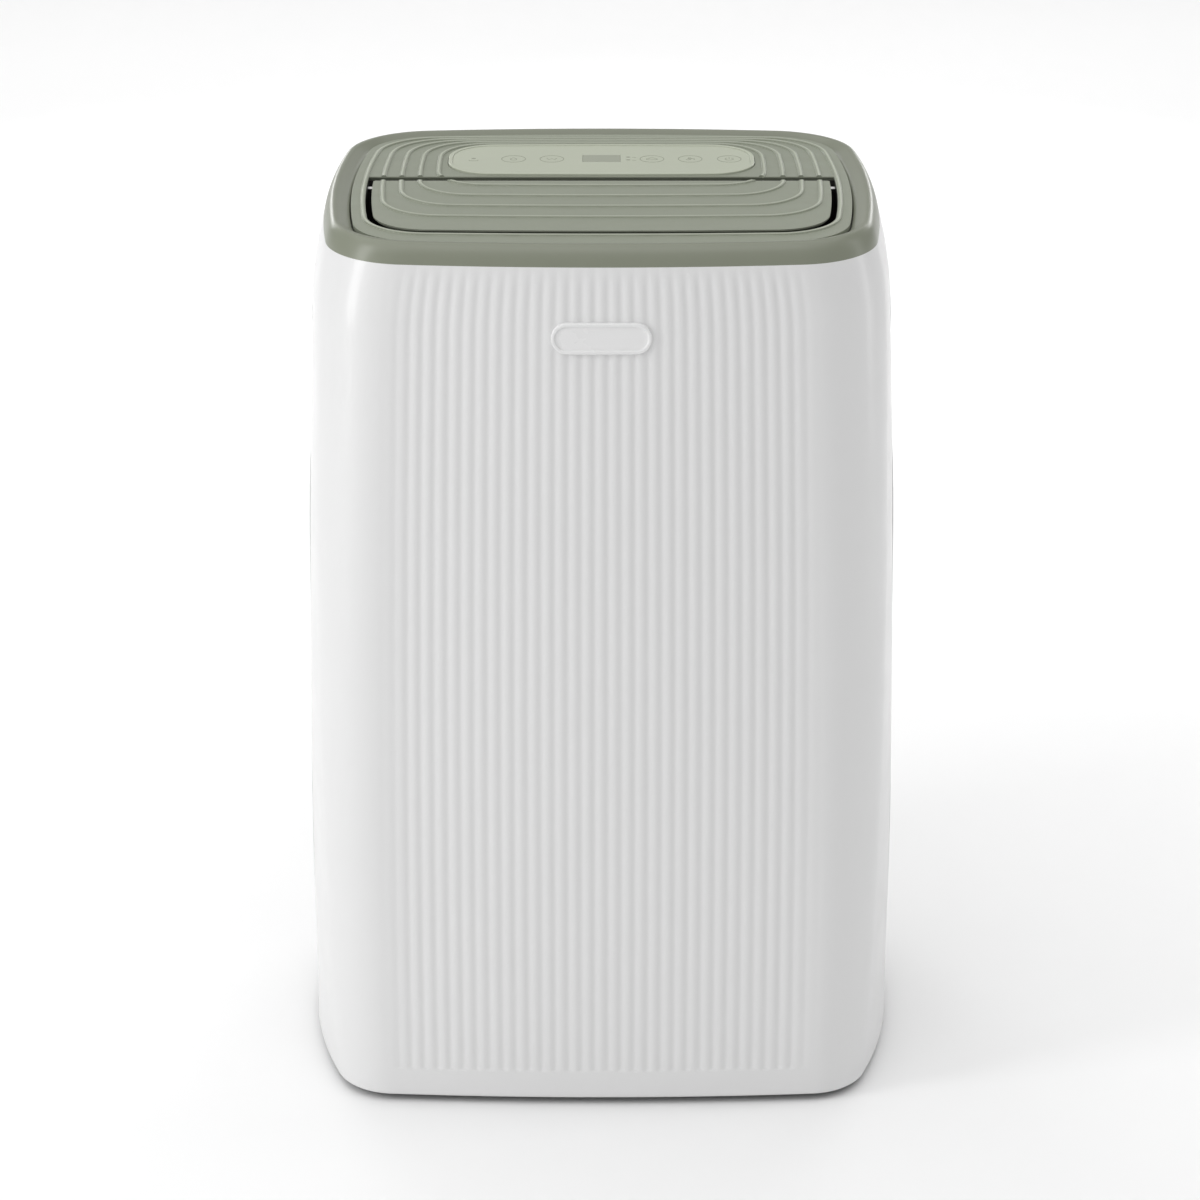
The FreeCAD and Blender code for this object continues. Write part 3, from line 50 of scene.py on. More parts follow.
CASING_FOOT = 5.0
SHOULDER = 507.0
SEAT = 544.0
WIDTHS = (372.0, 345.5, 331.0)
DEPTHS = (276.0, 266.0, 258.0)
CORNERS = (39.0, 51.0)
SIDE_BOWS = (300.0, 600.0)
FRONT_BOWS = (2000.0, 1200.0)
SEAM = 45.4
PLATE_TOP = 554.2
FASCIA_TOP = 554.9
FASCIA_MIDDLE = 55.9
FASCIA_DEPTH = 66.8
FASCIA_WIDTH = 187.6
FASCIA_CORNER = 27.0
RING_SIDE = 10.8
RING_FRONT = 21.7
RING_BACK = 3.9
RING_CORNER = 2.2
RIB_WIDTH = 3.0
RIB_RISE = 0.9
FLAP_FRONT_OPENING = -99.0
OPENING_REAR = 20.2
HINGE_Y = 11.0
RING_STEPS = (14, 22, 10)
RIM_STEPS = (14, 20, 10)


# ---------- plan outlines ----------

class Outline:
    """Closed plan outline: four bowed sides, joined by corner arcs tangent to both neighbours."""

    def __init__(self, half_width, half_depth, side_bow, front_bow, corner, middle=0.0):
        self.middle = middle
        side_x = half_width - side_bow
        front_y = half_depth - front_bow
        side_reach = side_bow - corner
        front_reach = front_bow - corner
        apart = math.hypot(side_x, front_y)
        along = (side_reach ** 2 - front_reach ** 2 + apart ** 2) / (2 * apart)
        off = math.sqrt(side_reach ** 2 - along ** 2)
        corner_x = side_x - along * side_x / apart - off * front_y / apart
        corner_y = along * front_y / apart - off * side_x / apart
        front_turn = math.atan2(corner_x, corner_y - front_y)
        side_turn = math.atan2(corner_x - side_x, corner_y)
        self.arcs = ((0.0, -front_y, front_bow, 0.0, front_turn),
                     (corner_x, -corner_y, corner, front_turn, side_turn),
                     (side_x, 0.0, side_bow, side_turn, math.pi / 2))
        self.lengths = [radius * (end - start) for x, y, radius, start, end in self.arcs]
        self.quarter = sum(self.lengths)

    def spot(self, distance):
        """Point and outward direction at a distance along the quarter from the middle of the front."""
        for number, (x, y, radius, start, end) in enumerate(self.arcs):
            if distance <= self.lengths[number] or number == 2:
                turn = start + distance / radius
                out = Vector((math.sin(turn), -math.cos(turn)))
                return Vector((x, y)) + out * radius, out
            distance -= self.lengths[number]

    def distance_at(self, across):
        """Distance along the quarter where the outline reaches a distance to the side."""
        x, y, radius, start, end = self.arcs[0]
        if across <= radius * math.sin(end):
            return radius * math.asin(across / radius)
        x, y, radius, start, end = self.arcs[1]
        return self.lengths[0] + radius * (math.asin((across - x) / radius) - start)

    def loop(self, steps):
        """Points all the way round, anticlockwise from the middle of the front, with steps for each arc."""
        stops = []
        before = 0.0
        for length, count in zip(self.lengths, steps):
            stops += [before + length * part / count for part in range(count)]
            before += length
        ring = [self.spot(stop) for stop in stops]
        last = self.spot(self.quarter)
        right = ring + [last]
        front_right = [(p, o) for p, o in ring]
        back_right = [(Vector((p.x, -p.y)), Vector((o.x, -o.y))) for p, o in right[:0:-1]]
        back_left = [(-p, -o) for p, o in ring]
        front_left = [(Vector((-p.x, p.y)), Vector((-o.x, o.y))) for p, o in right[:0:-1]]
        whole = front_right + back_right + back_left + front_left
        return [(Vector((p.x, p.y + self.middle)), o) for p, o in whole]


def blend(pair, part):
    return pair[0] + (pair[1] - pair[0]) * part


def casing_half(height, sizes):
    base, shoulder, seat = sizes
    if height <= SHOULDER:
        rise = max(0.0, (height - CASING_FOOT) / (SHOULDER - CASING_FOOT))
        return (base - (base - shoulder) * rise ** 2) / 2
    rise = (height - SHOULDER) / (SEAT - SHOULDER)
    return (shoulder - (shoulder - seat) * rise * (1 + rise) / 2) / 2


def casing_outline(height, inset=0.0):
    rise = (height - CASING_FOOT) / (SEAT - CASING_FOOT)
    return Outline(casing_half(height, WIDTHS) - inset, casing_half(height, DEPTHS) - inset,
                   blend(SIDE_BOWS, rise) - inset, blend(FRONT_BOWS, rise) - inset,
                   blend(CORNERS, rise) - inset)


# ---------- meshes ----------

def new_piece(name, mesh):
    piece = bpy.data.objects.new(name, mesh)
    scene.collection.objects.link(piece)
    return piece


def shade(mesh, sharp=35.0):
    mesh.polygons.foreach_set("use_smooth", [True] * len(mesh.polygons))
    mesh.set_sharp_from_angle(angle=math.radians(sharp))


def mesh_from(name, points, faces, sharp=35.0):
    """A closed mesh in metres from millimetre points, with its faces turned outwards."""
    mesh = bpy.data.meshes.new(name)
    mesh.from_pydata([Vector(point) * MM for point in points], [], faces)
    build = bmesh.new()
    build.from_mesh(mesh)
    bmesh.ops.recalc_face_normals(build, faces=build.faces)
    build.to_mesh(mesh)
    build.free()
    shade(mesh, sharp)
    return mesh


def hoops(rows, count):
    """Faces between neighbouring closed rows of points, from the first row to the last."""
    faces = []
    for low in range(0, (rows - 1) * count, count):
        for spot in range(count):
            after = (spot + 1) % count
            faces.append((low + spot, low + after, low + count + after, low + count + spot))
    return faces


def apply_modifiers(piece):
    """Turns a piece and its modifiers into one plain mesh."""
    shape = bpy.data.meshes.new_from_object(piece.evaluated_get(bpy.context.evaluated_depsgraph_get()))
    piece.modifiers.clear()
    old = piece.data
    piece.data = shape
    bpy.data.meshes.remove(old)


# ---------- node trees ----------

class Tree:
    """Short calls for wiring a node tree."""

    def __init__(self, tree):
        self.tree = tree

    def add(self, kind, values=None, **settings):
        node = self.tree.nodes.new(kind)
        for name, value in settings.items():
            setattr(node, name, value)
        for socket, value in (values or {}).items():
            self.feed(node.inputs[socket], value)
        return node

    def feed(self, socket, value):
        if isinstance(value, bpy.types.NodeSocket):
            self.tree.links.new(value, socket)
        else:
            socket.default_value = value

    def math(self, operation, first, second=0.0, third=0.0):
        values = {0: first, 1: second, 2: third}
        return self.add("ShaderNodeMath", values, operation=operation).outputs[0]

    def ramp(self, value, low, high, start=0.0, end=1.0):
        """A smooth step from one value to another."""
        values = {"Value": value, "From Min": low, "From Max": high, "To Min": start, "To Max": end}
        return self.add("ShaderNodeMapRange", values, interpolation_type="SMOOTHSTEP").outputs[0]


# ---------- finishes ----------

def new_material(name, colour, roughness, metallic=0.0, **settings):
    material = bpy.data.materials.new(name)
    material.use_nodes = True
    tree = Tree(material.node_tree)
    shader = material.node_tree.nodes["Principled BSDF"]
    shader.inputs["Base Color"].default_value = (*colour, 1.0)
    shader.inputs["Roughness"].default_value = roughness
    shader.inputs["Metallic"].default_value = metallic
    for socket, value in settings.items():
        shader.inputs[socket.replace("_", " ")].default_value = value
    material.diffuse_color = (*colour, 1.0)
    return material, tree, shader


def object_point(tree, stretch=(1.0, 1.0, 1.0)):
    point = tree.add("ShaderNodeTexCoord").outputs["Object"]
    if stretch == (1.0, 1.0, 1.0):
        return point
    return tree.add("ShaderNodeMapping", {"Vector": point, "Scale": stretch}).outputs[0]


def noise(tree, point, scale, detail=3.0, roughness=0.5):
    values = {"Vector": point, "Scale": scale, "Detail": detail, "Roughness": roughness}
    return tree.add("ShaderNodeTexNoise", values).outputs["Fac"]


def tint(tree, shader, value, colour, spread):
    """Base colour that drifts a little darker and lighter with a pattern."""
    dark = [max(0.0, part * (1 - spread)) for part in colour]
    light = [min(1.0, part * (1 + spread)) for part in colour]
    mix = tree.add("ShaderNodeMix", data_type="RGBA")
    tree.feed(mix.inputs["Factor"], value)
    tree.feed(mix.inputs["A"], (*dark, 1.0))
    tree.feed(mix.inputs["B"], (*light, 1.0))
    tree.feed(shader.inputs["Base Color"], mix.outputs["Result"])


def roughen(tree, shader, value, low, high):
    tree.feed(shader.inputs["Roughness"], tree.ramp(value, 0.3, 0.7, low, high))


def relief(tree, shader, value, depth, strength=1.0):
    bump = tree.add("ShaderNodeBump", {"Height": value, "Distance": depth, "Strength": strength})
    tree.feed(shader.inputs["Normal"], bump.outputs[0])


def moulded(name, colour, rough, grain=1500.0, depth=0.00002, spread=0.02, **settings):
    """Moulded plastic: a fine spark-eroded grain, slow colour drift and uneven gloss."""
    material, tree, shader = new_material(name, colour, sum(rough) / 2, **settings)
    point = object_point(tree)
    tint(tree, shader, noise(tree, point, 7.0, 2.0), colour, spread)
    roughen(tree, shader, noise(tree, point, 38.0, 4.0), *rough)
    if depth:
        relief(tree, shader, noise(tree, point, grain, 2.0), depth)
    return material


def metal(name, colour, rough, stretch, scale=300.0, depth=0.00001, spread=0.08):
    """Drawn or rolled metal: streaks along its run."""
    material, tree, shader = new_material(name, colour, sum(rough) / 2, metallic=1.0)
    streaks = noise(tree, object_point(tree, stretch), scale, 3.0)
    cloud = noise(tree, object_point(tree), 45.0, 4.0)
    tint(tree, shader, cloud, colour, spread)
    roughen(tree, shader, streaks, *rough)
    relief(tree, shader, streaks, depth)
    return material


def foam(name, colour):
    """Expanded foam: closed beads pressed against each other."""
    material, tree, shader = new_material(name, colour, 0.8)
    cells = tree.add("ShaderNodeTexVoronoi", {"Vector": object_point(tree), "Scale": 330.0},
                     feature="DISTANCE_TO_EDGE").outputs["Distance"]
    beads = tree.ramp(cells, 0.0, 0.16)
    tint(tree, shader, beads, colour, 0.05)
    relief(tree, shader, beads, 0.00015)
    return material


def enamel(name, colour):
    """Sprayed enamel: gloss with a faint orange-peel surface."""
    material, tree, shader = new_material(name, colour, 0.3, Coat_Weight=0.4, Coat_Roughness=0.15)
    point = object_point(tree)
    tint(tree, shader, noise(tree, point, 25.0, 4.0), colour, 0.25)
    roughen(tree, shader, noise(tree, point, 60.0, 4.0), 0.25, 0.45)
    relief(tree, shader, noise(tree, point, 420.0, 1.0), 0.00005)
    return material


def circuit_board(name):
    """Green solder mask with paler tracks under it."""
    colour = (0.03, 0.16, 0.07)
    material, tree, shader = new_material(name, colour, 0.35)
    values = {"Vector": object_point(tree), "Scale": 60.0, "Mortar Size": 0.05, "Color1": (*colour, 1.0),
              "Color2": (0.025, 0.13, 0.06, 1.0), "Mortar": (0.08, 0.3, 0.14, 1.0)}
    tracks = tree.add("ShaderNodeTexBrick", values)
    tree.feed(shader.inputs["Base Color"], tracks.outputs["Color"])
    relief(tree, shader, tracks.outputs["Fac"], 0.00004)
    return material


def clear_tank(name):
    """Smoky clear plastic, clouded a little by limescale."""
    colour = (0.72, 0.76, 0.78)
    material, tree, shader = new_material(name, colour, 0.2, Transmission_Weight=0.85, IOR=1.46)
    point = object_point(tree)
    roughen(tree, shader, noise(tree, point, 22.0, 5.0), 0.12, 0.34)
    tint(tree, shader, noise(tree, point, 9.0, 3.0), colour, 0.06)
    relief(tree, shader, noise(tree, point, 120.0, 2.0), 0.00002)
    return material


def filter_weave(name):
    """Woven filter mesh: two crossed sets of threads."""
    colour = (0.1, 0.1, 0.1)
    material, tree, shader = new_material(name, colour, 0.6)
    point = object_point(tree)
    threads = []
    for axis in ("X", "Z"):
        values = {"Vector": point, "Scale": 210.0, "Distortion": 0.3}
        threads.append(tree.add("ShaderNodeTexWave", values, bands_direction=axis).outputs["Fac"])
    weave = tree.math("MAXIMUM", threads[0], threads[1])
    tint(tree, shader, weave, colour, 0.6)
    relief(tree, shader, weave, 0.0002)
    return material


WHITE = (0.75, 0.75, 0.75)
SAGE_RIM = (0.225, 0.24, 0.185)
SAGE_TOP = (0.265, 0.285, 0.225)
PALE_SAGE = (0.47, 0.50, 0.40)
FINISHES = {
    "white_casing": moulded("white_casing_satin", WHITE, (0.30, 0.40), 1400.0, 0.000006, 0.008,
                            Coat_Weight=0.25, Coat_Roughness=0.12),
    "badge_white": moulded("badge_gloss", (0.80, 0.80, 0.80), (0.22, 0.30), 900.0, 0.000004, 0.01),
    "sage_rim": moulded("sage_rim_satin", SAGE_RIM, (0.29, 0.32), 1500.0, 0.000004, 0.02),
    "sage_top": moulded("sage_top_matte", SAGE_TOP, (0.45, 0.60), 1300.0, 0.000025, 0.025),
    "pale_sage": moulded("pale_sage_satin", PALE_SAGE, (0.35, 0.45), 1500.0, 0.000008, 0.015),
    "display_dark": moulded("display_window_tint", (0.36, 0.385, 0.30), (0.10, 0.18), 900.0, 0.0, 0.03,
                            Coat_Weight=0.3, Coat_Roughness=0.05),
    "board_green": circuit_board("control_board_mask"),
    "black_plastic": moulded("black_plastic_grain", (0.018, 0.018, 0.017), (0.42, 0.6), 1100.0, 0.00004,
                             0.15),
    "grey_plastic": moulded("grey_plastic_grain", (0.16, 0.165, 0.17), (0.45, 0.6), 1100.0, 0.00004, 0.05),
    "tank_clear": clear_tank("tank_clear_plastic"),
    "white_foam": foam("white_bead_foam", (0.72, 0.72, 0.70)),
    "black_enamel": enamel("black_enamel", (0.012, 0.012, 0.013)),
    "steel": metal("turned_steel", (0.50, 0.50, 0.49), (0.22, 0.42), (1.0, 30.0, 1.0)),
    "copper": metal("drawn_copper", (0.72, 0.33, 0.18), (0.2, 0.4), (1.0, 1.0, 1.0), 160.0),
    "fin_aluminium": metal("fin_aluminium", (0.72, 0.73, 0.74), (0.28, 0.45), (1.0, 1.0, 14.0)),
    "rubber_black": moulded("rubber_grommet", (0.02, 0.02, 0.02), (0.7, 0.85), 700.0, 0.00008, 0.2),
    "mesh_grey": filter_weave("filter_weave"),
    "wheel_grey": moulded("wheel_tread", (0.12, 0.12, 0.125), (0.5, 0.65), 900.0, 0.00005, 0.08),
}

for row in frame["record"]["subparts"]:
    slots = nodes[row["node"]].material_slots
    for number in range(len(slots)):
        slots[number].material = FINISHES[row["material_slot"]]


def finish(piece, slot):
    """Gives a piece its finish."""
    piece.data.materials.clear()
    piece.data.materials.append(FINISHES[slot])


# ---------- fluted front of the casing ----------

FLUTE_PITCH = 8.15
FLUTE_SPREAD = 0.785
FLUTE_COLUMNS = 10
SIDE_COLUMNS = 44
BEND_FOOT = 495.0
# Height of a row at the foot and its inset; distance of an edge from the seam and its inset.
FOOT_ROUNDING = ((5.0, 1.6), (5.15, 1.0), (5.6, 0.45), (6.3, 0.12), (7.4, 0.0))
SEAM_ROUNDING = ((0.9, 0.0), (0.45, 0.12), (0.15, 0.4), (0.0, 0.8))
FLUTE_FOOT_ROWS = (13.0, 19.0, 23.0, 23.6, 24.2, 24.8, 25.4, 27.0)


def front_rows():
    """Heights of the front's rows, each with its inset: close together where the front bends."""
    levels = list(FLUTE_FOOT_ROWS)
    foot = levels[-1]
    levels += [foot + (BEND_FOOT - foot) * part / 34 for part in range(1, 35)]
    levels += [BEND_FOOT + (SEAT - BEND_FOOT) * part / 22 for part in range(1, 23)]
    return list(FOOT_ROUNDING) + [(level, 0.0) for level in levels]


def front_blank():
    """The front of the casing as an open sheet, with its place across and up kept for the flutes."""
    columns = int(FLUTE_SPREAD * WIDTHS[0] / FLUTE_PITCH * FLUTE_COLUMNS)
    columns += columns % 2
    rows = front_rows()
    points = []
    across_values = []
    height_values = []
    for height, inset in rows:
        plan = casing_outline(height, inset)
        half = casing_half(height, WIDTHS)
        bow = plan.arcs[2][2]
        seam_distance = plan.quarter - bow * math.asin(SEAM / bow)
        start = plan.distance_at((half - inset) * FLUTE_SPREAD)
        reach = seam_distance - 1.2 - start
        side = [(start + reach * part / SIDE_COLUMNS, 0.0) for part in range(1, SIDE_COLUMNS + 1)]
        side += [(seam_distance - back, inward) for back, inward in SEAM_ROUNDING]
        right = []
        for stop, inward in side:
            point, out = plan.spot(stop)
            right.append((point - out * inward, WIDTHS[0]))
        spots = [(Vector((-point.x, point.y)), -across) for point, across in right[::-1]]
        for part in range(columns + 1):
            share = FLUTE_SPREAD * (2 * part / columns - 1)
            x = half * share
            point, out = plan.spot(plan.distance_at(min(abs(x), (half - inset) * FLUTE_SPREAD)))
            spots.append((Vector((math.copysign(point.x, x), point.y)), share * WIDTHS[0] / 2))
        spots += right
        for point, across in spots:
            points.append((point.x * MM, point.y * MM, height * MM))
            across_values.append(across)
            height_values.append(height)
    wide = len(points) // len(rows)
    faces = [(low + spot, low + spot + 1, low + wide + spot + 1, low + wide + spot)
             for low in range(0, len(points) - wide, wide) for spot in range(wide - 1)]
    mesh = bpy.data.meshes.new("front_shell_fluted")
    mesh.from_pydata(points, [], faces)
    for name, values in (("across", across_values), ("height", height_values)):
        mesh.attributes.new(name, "FLOAT", "POINT").data.foreach_set("value", values)
    shade(mesh, 180.0)
    return new_piece("front_shell_fluted", mesh)


def flute_tree():
    """Presses upright flutes into a sheet: rounded ribs that fade out at the sides and the top."""
    group = bpy.data.node_groups.new("casing_flutes", "GeometryNodeTree")
    tree = Tree(group)
    group.interface.new_socket("Geometry", in_out="INPUT", socket_type="NodeSocketGeometry")
    inputs = (("Pitch", FLUTE_PITCH), ("Depth", 0.62), ("Half spread", 138.0), ("Side fade", 26.0),
              ("Foot", 24.4), ("Foot fade", 0.8), ("Top", 546.0), ("Top fade", 16.0))
    for name, value in inputs:
        socket = group.interface.new_socket(name, in_out="INPUT", socket_type="NodeSocketFloat")
        socket.default_value = value
    group.interface.new_socket("Material", in_out="INPUT", socket_type="NodeSocketMaterial")
    group.interface.new_socket("Geometry", in_out="OUTPUT", socket_type="NodeSocketGeometry")
    given = tree.add("NodeGroupInput").outputs
    across = tree.add("GeometryNodeInputNamedAttribute", {"Name": "across"}, data_type="FLOAT").outputs[0]
    height = tree.add("GeometryNodeInputNamedAttribute", {"Name": "height"}, data_type="FLOAT").outputs[0]
    turns = tree.math("MULTIPLY", tree.math("DIVIDE", across, given["Pitch"]), 2 * math.pi)
    wave = tree.math("MULTIPLY_ADD", tree.math("COSINE", turns), -0.5, 0.5)
    wave = tree.math("POWER", wave, 1.25)
    aside = tree.math("ABSOLUTE", across)
    inner = tree.math("SUBTRACT", given["Half spread"], given["Side fade"])
    side_mask = tree.ramp(aside, inner, given["Half spread"], 1.0, 0.0)
    foot_mask = tree.ramp(height, tree.math("SUBTRACT", given["Foot"], given["Foot fade"]),
                          tree.math("ADD", given["Foot"], given["Foot fade"]))
    top_mask = tree.ramp(height, tree.math("SUBTRACT", given["Top"], given["Top fade"]), given["Top"],
                         1.0, 0.0)
    mask = tree.math("MULTIPLY", side_mask, tree.math("MULTIPLY", foot_mask, top_mask))
    inwards = tree.math("MULTIPLY", given["Depth"], -MM)
    press = tree.math("MULTIPLY", tree.math("MULTIPLY", wave, mask), inwards)
    normal = tree.add("GeometryNodeInputNormal").outputs[0]
    offset = tree.add("ShaderNodeVectorMath", {0: normal}, operation="SCALE")
    tree.feed(offset.inputs["Scale"], press)
    moved = tree.add("GeometryNodeSetPosition", {0: given["Geometry"], "Offset": offset.outputs[0]})
    real = tree.add("GeometryNodeRealizeInstances", {0: moved.outputs[0]})
    dressed = tree.add("GeometryNodeSetMaterial", {0: real.outputs[0], "Material": given["Material"]})
    tree.add("NodeGroupOutput", {0: dressed.outputs[0]})
    return group


def set_input(modifier, name, value):
    for item in modifier.node_group.interface.items_tree:
        if item.name == name and item.in_out == "INPUT":
            modifier[item.identifier] = value


FRONT_WALL = 1.9


def fluted_front():
    piece = front_blank()
    flutes = piece.modifiers.new("flutes", "NODES")
    flutes.node_group = flute_tree()
    set_input(flutes, "Material", FINISHES["white_casing"])
    wall = piece.modifiers.new("wall", "SOLIDIFY")
    wall.thickness = FRONT_WALL * MM
    wall.offset = -1.0
    apply_modifiers(piece)
    shade(piece.data, 40.0)
    finish(piece, "white_casing")
    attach(piece, "chassis")
    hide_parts("front_shell")


fluted_front()


# ---------- rim ----------

RIM_HEIGHT = 12.0
LIP_WIDTHS = (WIDTHS[2], 320.0)
LIP_DEPTHS = (DEPTHS[2], 246.0)
LIP_FLAT = 2.2
BEVEL_SIDE = 8.0
BEVEL_FRONT = 4.0
BEVEL_DROP = 4.0


def rim_rows():
    """Outlines and their heights: up the outside, over the lip, down the bevel and down the well."""
    rows = []
    for rise in (0.0, 0.15, 0.3, 0.45, 0.6, 0.72, 0.82, 0.9, 0.95, 0.98, 1.0):
        part = 1.0 - (1.0 - rise ** 1.3) ** 0.6
        plan = Outline(blend(LIP_WIDTHS, part) / 2, blend(LIP_DEPTHS, part) / 2,
                       SIDE_BOWS[1], FRONT_BOWS[1], CORNERS[1])
        rows.append((plan, SEAT + RIM_HEIGHT * rise))
    for inward, down in ((-0.06, 0.0), (0.0, 0.02), (0.06, 0.055), (0.2, 0.2), (0.6, 0.6), (0.94, 0.94),
                         (1.0, 1.06), (1.0, 1.3), (1.0, RIM_HEIGHT / BEVEL_DROP)):
        inset = LIP_FLAT + BEVEL_SIDE * inward
        plan = Outline(LIP_WIDTHS[1] / 2 - inset, LIP_DEPTHS[1] / 2 - LIP_FLAT - BEVEL_FRONT * inward,
                       SIDE_BOWS[1] - inset, FRONT_BOWS[1] - inset, CORNERS[1] - inset)
        rows.append((plan, SEAT + RIM_HEIGHT - BEVEL_DROP * down))
    return rows


def rim():
    """The rim as a closed ring: its last row, at the foot of the well, joins its first."""
    rows = rim_rows()
    points = []
    for plan, height in rows:
        points += [(point.x, point.y, height) for point, out in plan.loop(RIM_STEPS)]
    count = 4 * sum(RIM_STEPS)
    faces = [tuple(spot % len(points) for spot in face) for face in hoops(len(rows) + 1, count)]
    piece = new_piece("rim_skin", mesh_from("rim_skin", points, faces, 50.0))
    finish(piece, "sage_rim")
    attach(piece, "chassis")
    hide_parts("top_rim")


rim()


# ---------- badge ----------

BADGE_WIDTH = 58.0
BADGE_HEIGHT = 18.5
BADGE_MIDDLE = 503.0
BADGE_STEPS = 24
# Growth of the pill's outline and its stand from the casing, from the sunken foot in to the face.
BADGE_PROFILE = ((0.0, -1.2), (0.0, 1.0), (-0.25, 1.45), (-0.7, 1.6), (-1.6, 1.6), (-2.05, 1.45),
                 (-2.3, 1.0), (-2.6, 0.85), (-5.0, 0.85))


def pill(grow):
    """Points round a pill in the front's plane, anticlockwise, grown or shrunk by a margin."""
    steps = BADGE_STEPS
    radius = BADGE_HEIGHT / 2 + grow
    straight = (BADGE_WIDTH - BADGE_HEIGHT) / 2
    spots = []
    for end in (1, -1):
        for step in range(steps + 1):
            turn = math.pi * (step / steps - 0.5)
            spots.append((end * (straight + radius * math.cos(turn)),
                          BADGE_MIDDLE + end * radius * math.sin(turn)))
        for step in range(1, steps):
            spots.append((end * straight * (1 - 2 * step / steps), BADGE_MIDDLE + end * radius))
    return spots


def badge():
    """A blank pill that follows the bowed front: a rounded rim round a sunken face."""
    points = []
    for grow, stand in BADGE_PROFILE:
        for across, height in pill(grow):
            plan = casing_outline(height)
            point, out = plan.spot(plan.distance_at(abs(across)))
            points.append((math.copysign(point.x, across), point.y - stand, height))
    count = 4 * BADGE_STEPS
    faces = [tuple(range(count))[::-1], tuple(range(len(points) - count, len(points)))]
    faces += hoops(len(BADGE_PROFILE), count)
    piece = new_piece("badge_skin", mesh_from("badge_skin", points, faces, 50.0))
    finish(piece, "badge_white")
    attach(piece, "chassis")
    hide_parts("badge_plate")


badge()


# ---------- raised ribs on the top plate and the flap ----------

def ring_outline(number, spread=0.0):
    """Ring 0 runs round the fascia, ring 5 round the flap."""
    front = FASCIA_MIDDLE - FASCIA_DEPTH / 2 - RING_FRONT * number
    if number == 5:
        front = FLAP_FRONT_OPENING - RIB_WIDTH / 2
    back = FASCIA_MIDDLE + FASCIA_DEPTH / 2 + RING_BACK * number
    half = FASCIA_WIDTH / 2 + RING_SIDE * number
    if number:
        half -= RING_SIDE / 2
    return Outline(half + spread, (back - front) / 2 + spread, SIDE_BOWS[1], FRONT_BOWS[1] * 2,
                   FASCIA_CORNER + RING_CORNER * number + spread, (front + back) / 2)


def clipped(path, limit, ahead):
    """The run of a closed path on one side of a line across the casing, with its ends on the line."""
    side = [(point.y < limit) == ahead for point in path]
    count = len(path)
    start = next(number for number in range(count) if side[number] and not side[number - 1])
    run = []
    for step in range(count):
        number = (start + step) % count
        if not side[number]:
            break
        run.append(path[number])
    before = path[start - 1]
    after = path[(start + len(run)) % count]
    ends = []
    for outside, inside in ((before, run[0]), (after, run[-1])):
        part = (limit - inside.y) / (outside.y - inside.y)
        ends.append(inside + (outside - inside) * part)
    return [ends[0]] + run + [ends[1]]


def rib_tree():
    """Sweeps a low rounded rib along every path it is given."""
    group = bpy.data.node_groups.new("top_ribs", "GeometryNodeTree")
    tree = Tree(group)
    group.interface.new_socket("Geometry", in_out="INPUT", socket_type="NodeSocketGeometry")
    for name, value in (("Width", RIB_WIDTH * MM), ("Rise", RIB_RISE * MM)):
        socket = group.interface.new_socket(name, in_out="INPUT", socket_type="NodeSocketFloat")
        socket.default_value = value
    group.interface.new_socket("Material", in_out="INPUT", socket_type="NodeSocketMaterial")
    group.interface.new_socket("Geometry", in_out="OUTPUT", socket_type="NodeSocketGeometry")
    given = tree.add("NodeGroupInput").outputs
    path = tree.add("GeometryNodeMeshToCurve", {0: given["Geometry"]})
    level = tree.add("GeometryNodeSetCurveNormal", {0: path.outputs[0]}, mode="Z_UP")
    circle = tree.add("GeometryNodeCurvePrimitiveCircle", {"Resolution": 16, "Radius": 0.5})
    tall = tree.math("MULTIPLY", given["Rise"], 2.0)
    size = tree.add("ShaderNodeCombineXYZ", {"X": given["Width"], "Y": tall, "Z": 1.0})
    profile = tree.add("GeometryNodeTransform", {0: circle.outputs[0], "Scale": size.outputs[0]})
    values = {0: level.outputs[0], 1: profile.outputs[0], "Fill Caps": True}
    sweep = tree.add("GeometryNodeCurveToMesh", values)
    real = tree.add("GeometryNodeRealizeInstances", {0: sweep.outputs[0]})
    dressed = tree.add("GeometryNodeSetMaterial", {0: real.outputs[0], "Material": given["Material"]})
    tree.add("NodeGroupOutput", {0: dressed.outputs[0]})
    return group


RIB_TREE = rib_tree()
# Rib colour far lighter than the plate's sage: a painted highlight in place of the side lights' gloss on
# the ribs.
RIB_PAINTED_HIGHLIGHT = moulded("sage_rib_painted_highlight", (0.42, 0.45, 0.36), (0.28, 0.36), 1500.0, 0.000006, 0.02)


def ribs(name, paths, body, closed=()):
    """Ribs along the paths, a little larger than the plain ones that they cover, in a lighter colour that
    is a painted highlight.
    """
    points = []
    edges = []
    for number, path in enumerate(paths):
        first = len(points)
        points += [(point.x * MM, point.y * MM, PLATE_TOP * MM) for point in path]
        edges += [(first + step, first + step + 1) for step in range(len(path) - 1)]
        if number in closed:
            edges.append((len(points) - 1, first))
    mesh = bpy.data.meshes.new(name)
    mesh.from_pydata(points, edges, [])
    piece = new_piece(name, mesh)
    sweep = piece.modifiers.new("ribs", "NODES")
    sweep.node_group = RIB_TREE
    set_input(sweep, "Width", (RIB_WIDTH + 0.12) * MM)
    set_input(sweep, "Rise", (RIB_RISE + 0.08) * MM)
    set_input(sweep, "Material", FINISHES["pale_sage"])
    apply_modifiers(piece)
    build = bmesh.new()
    build.from_mesh(piece.data)
    bmesh.ops.recalc_face_normals(build, faces=build.faces)
    build.to_mesh(piece.data)
    build.free()
    shade(piece.data, 50.0)
    piece.data.materials.clear()
    # the ribs' light colour is a painted highlight
    piece.data.materials.append(RIB_PAINTED_HIGHLIGHT)
    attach(piece, body)


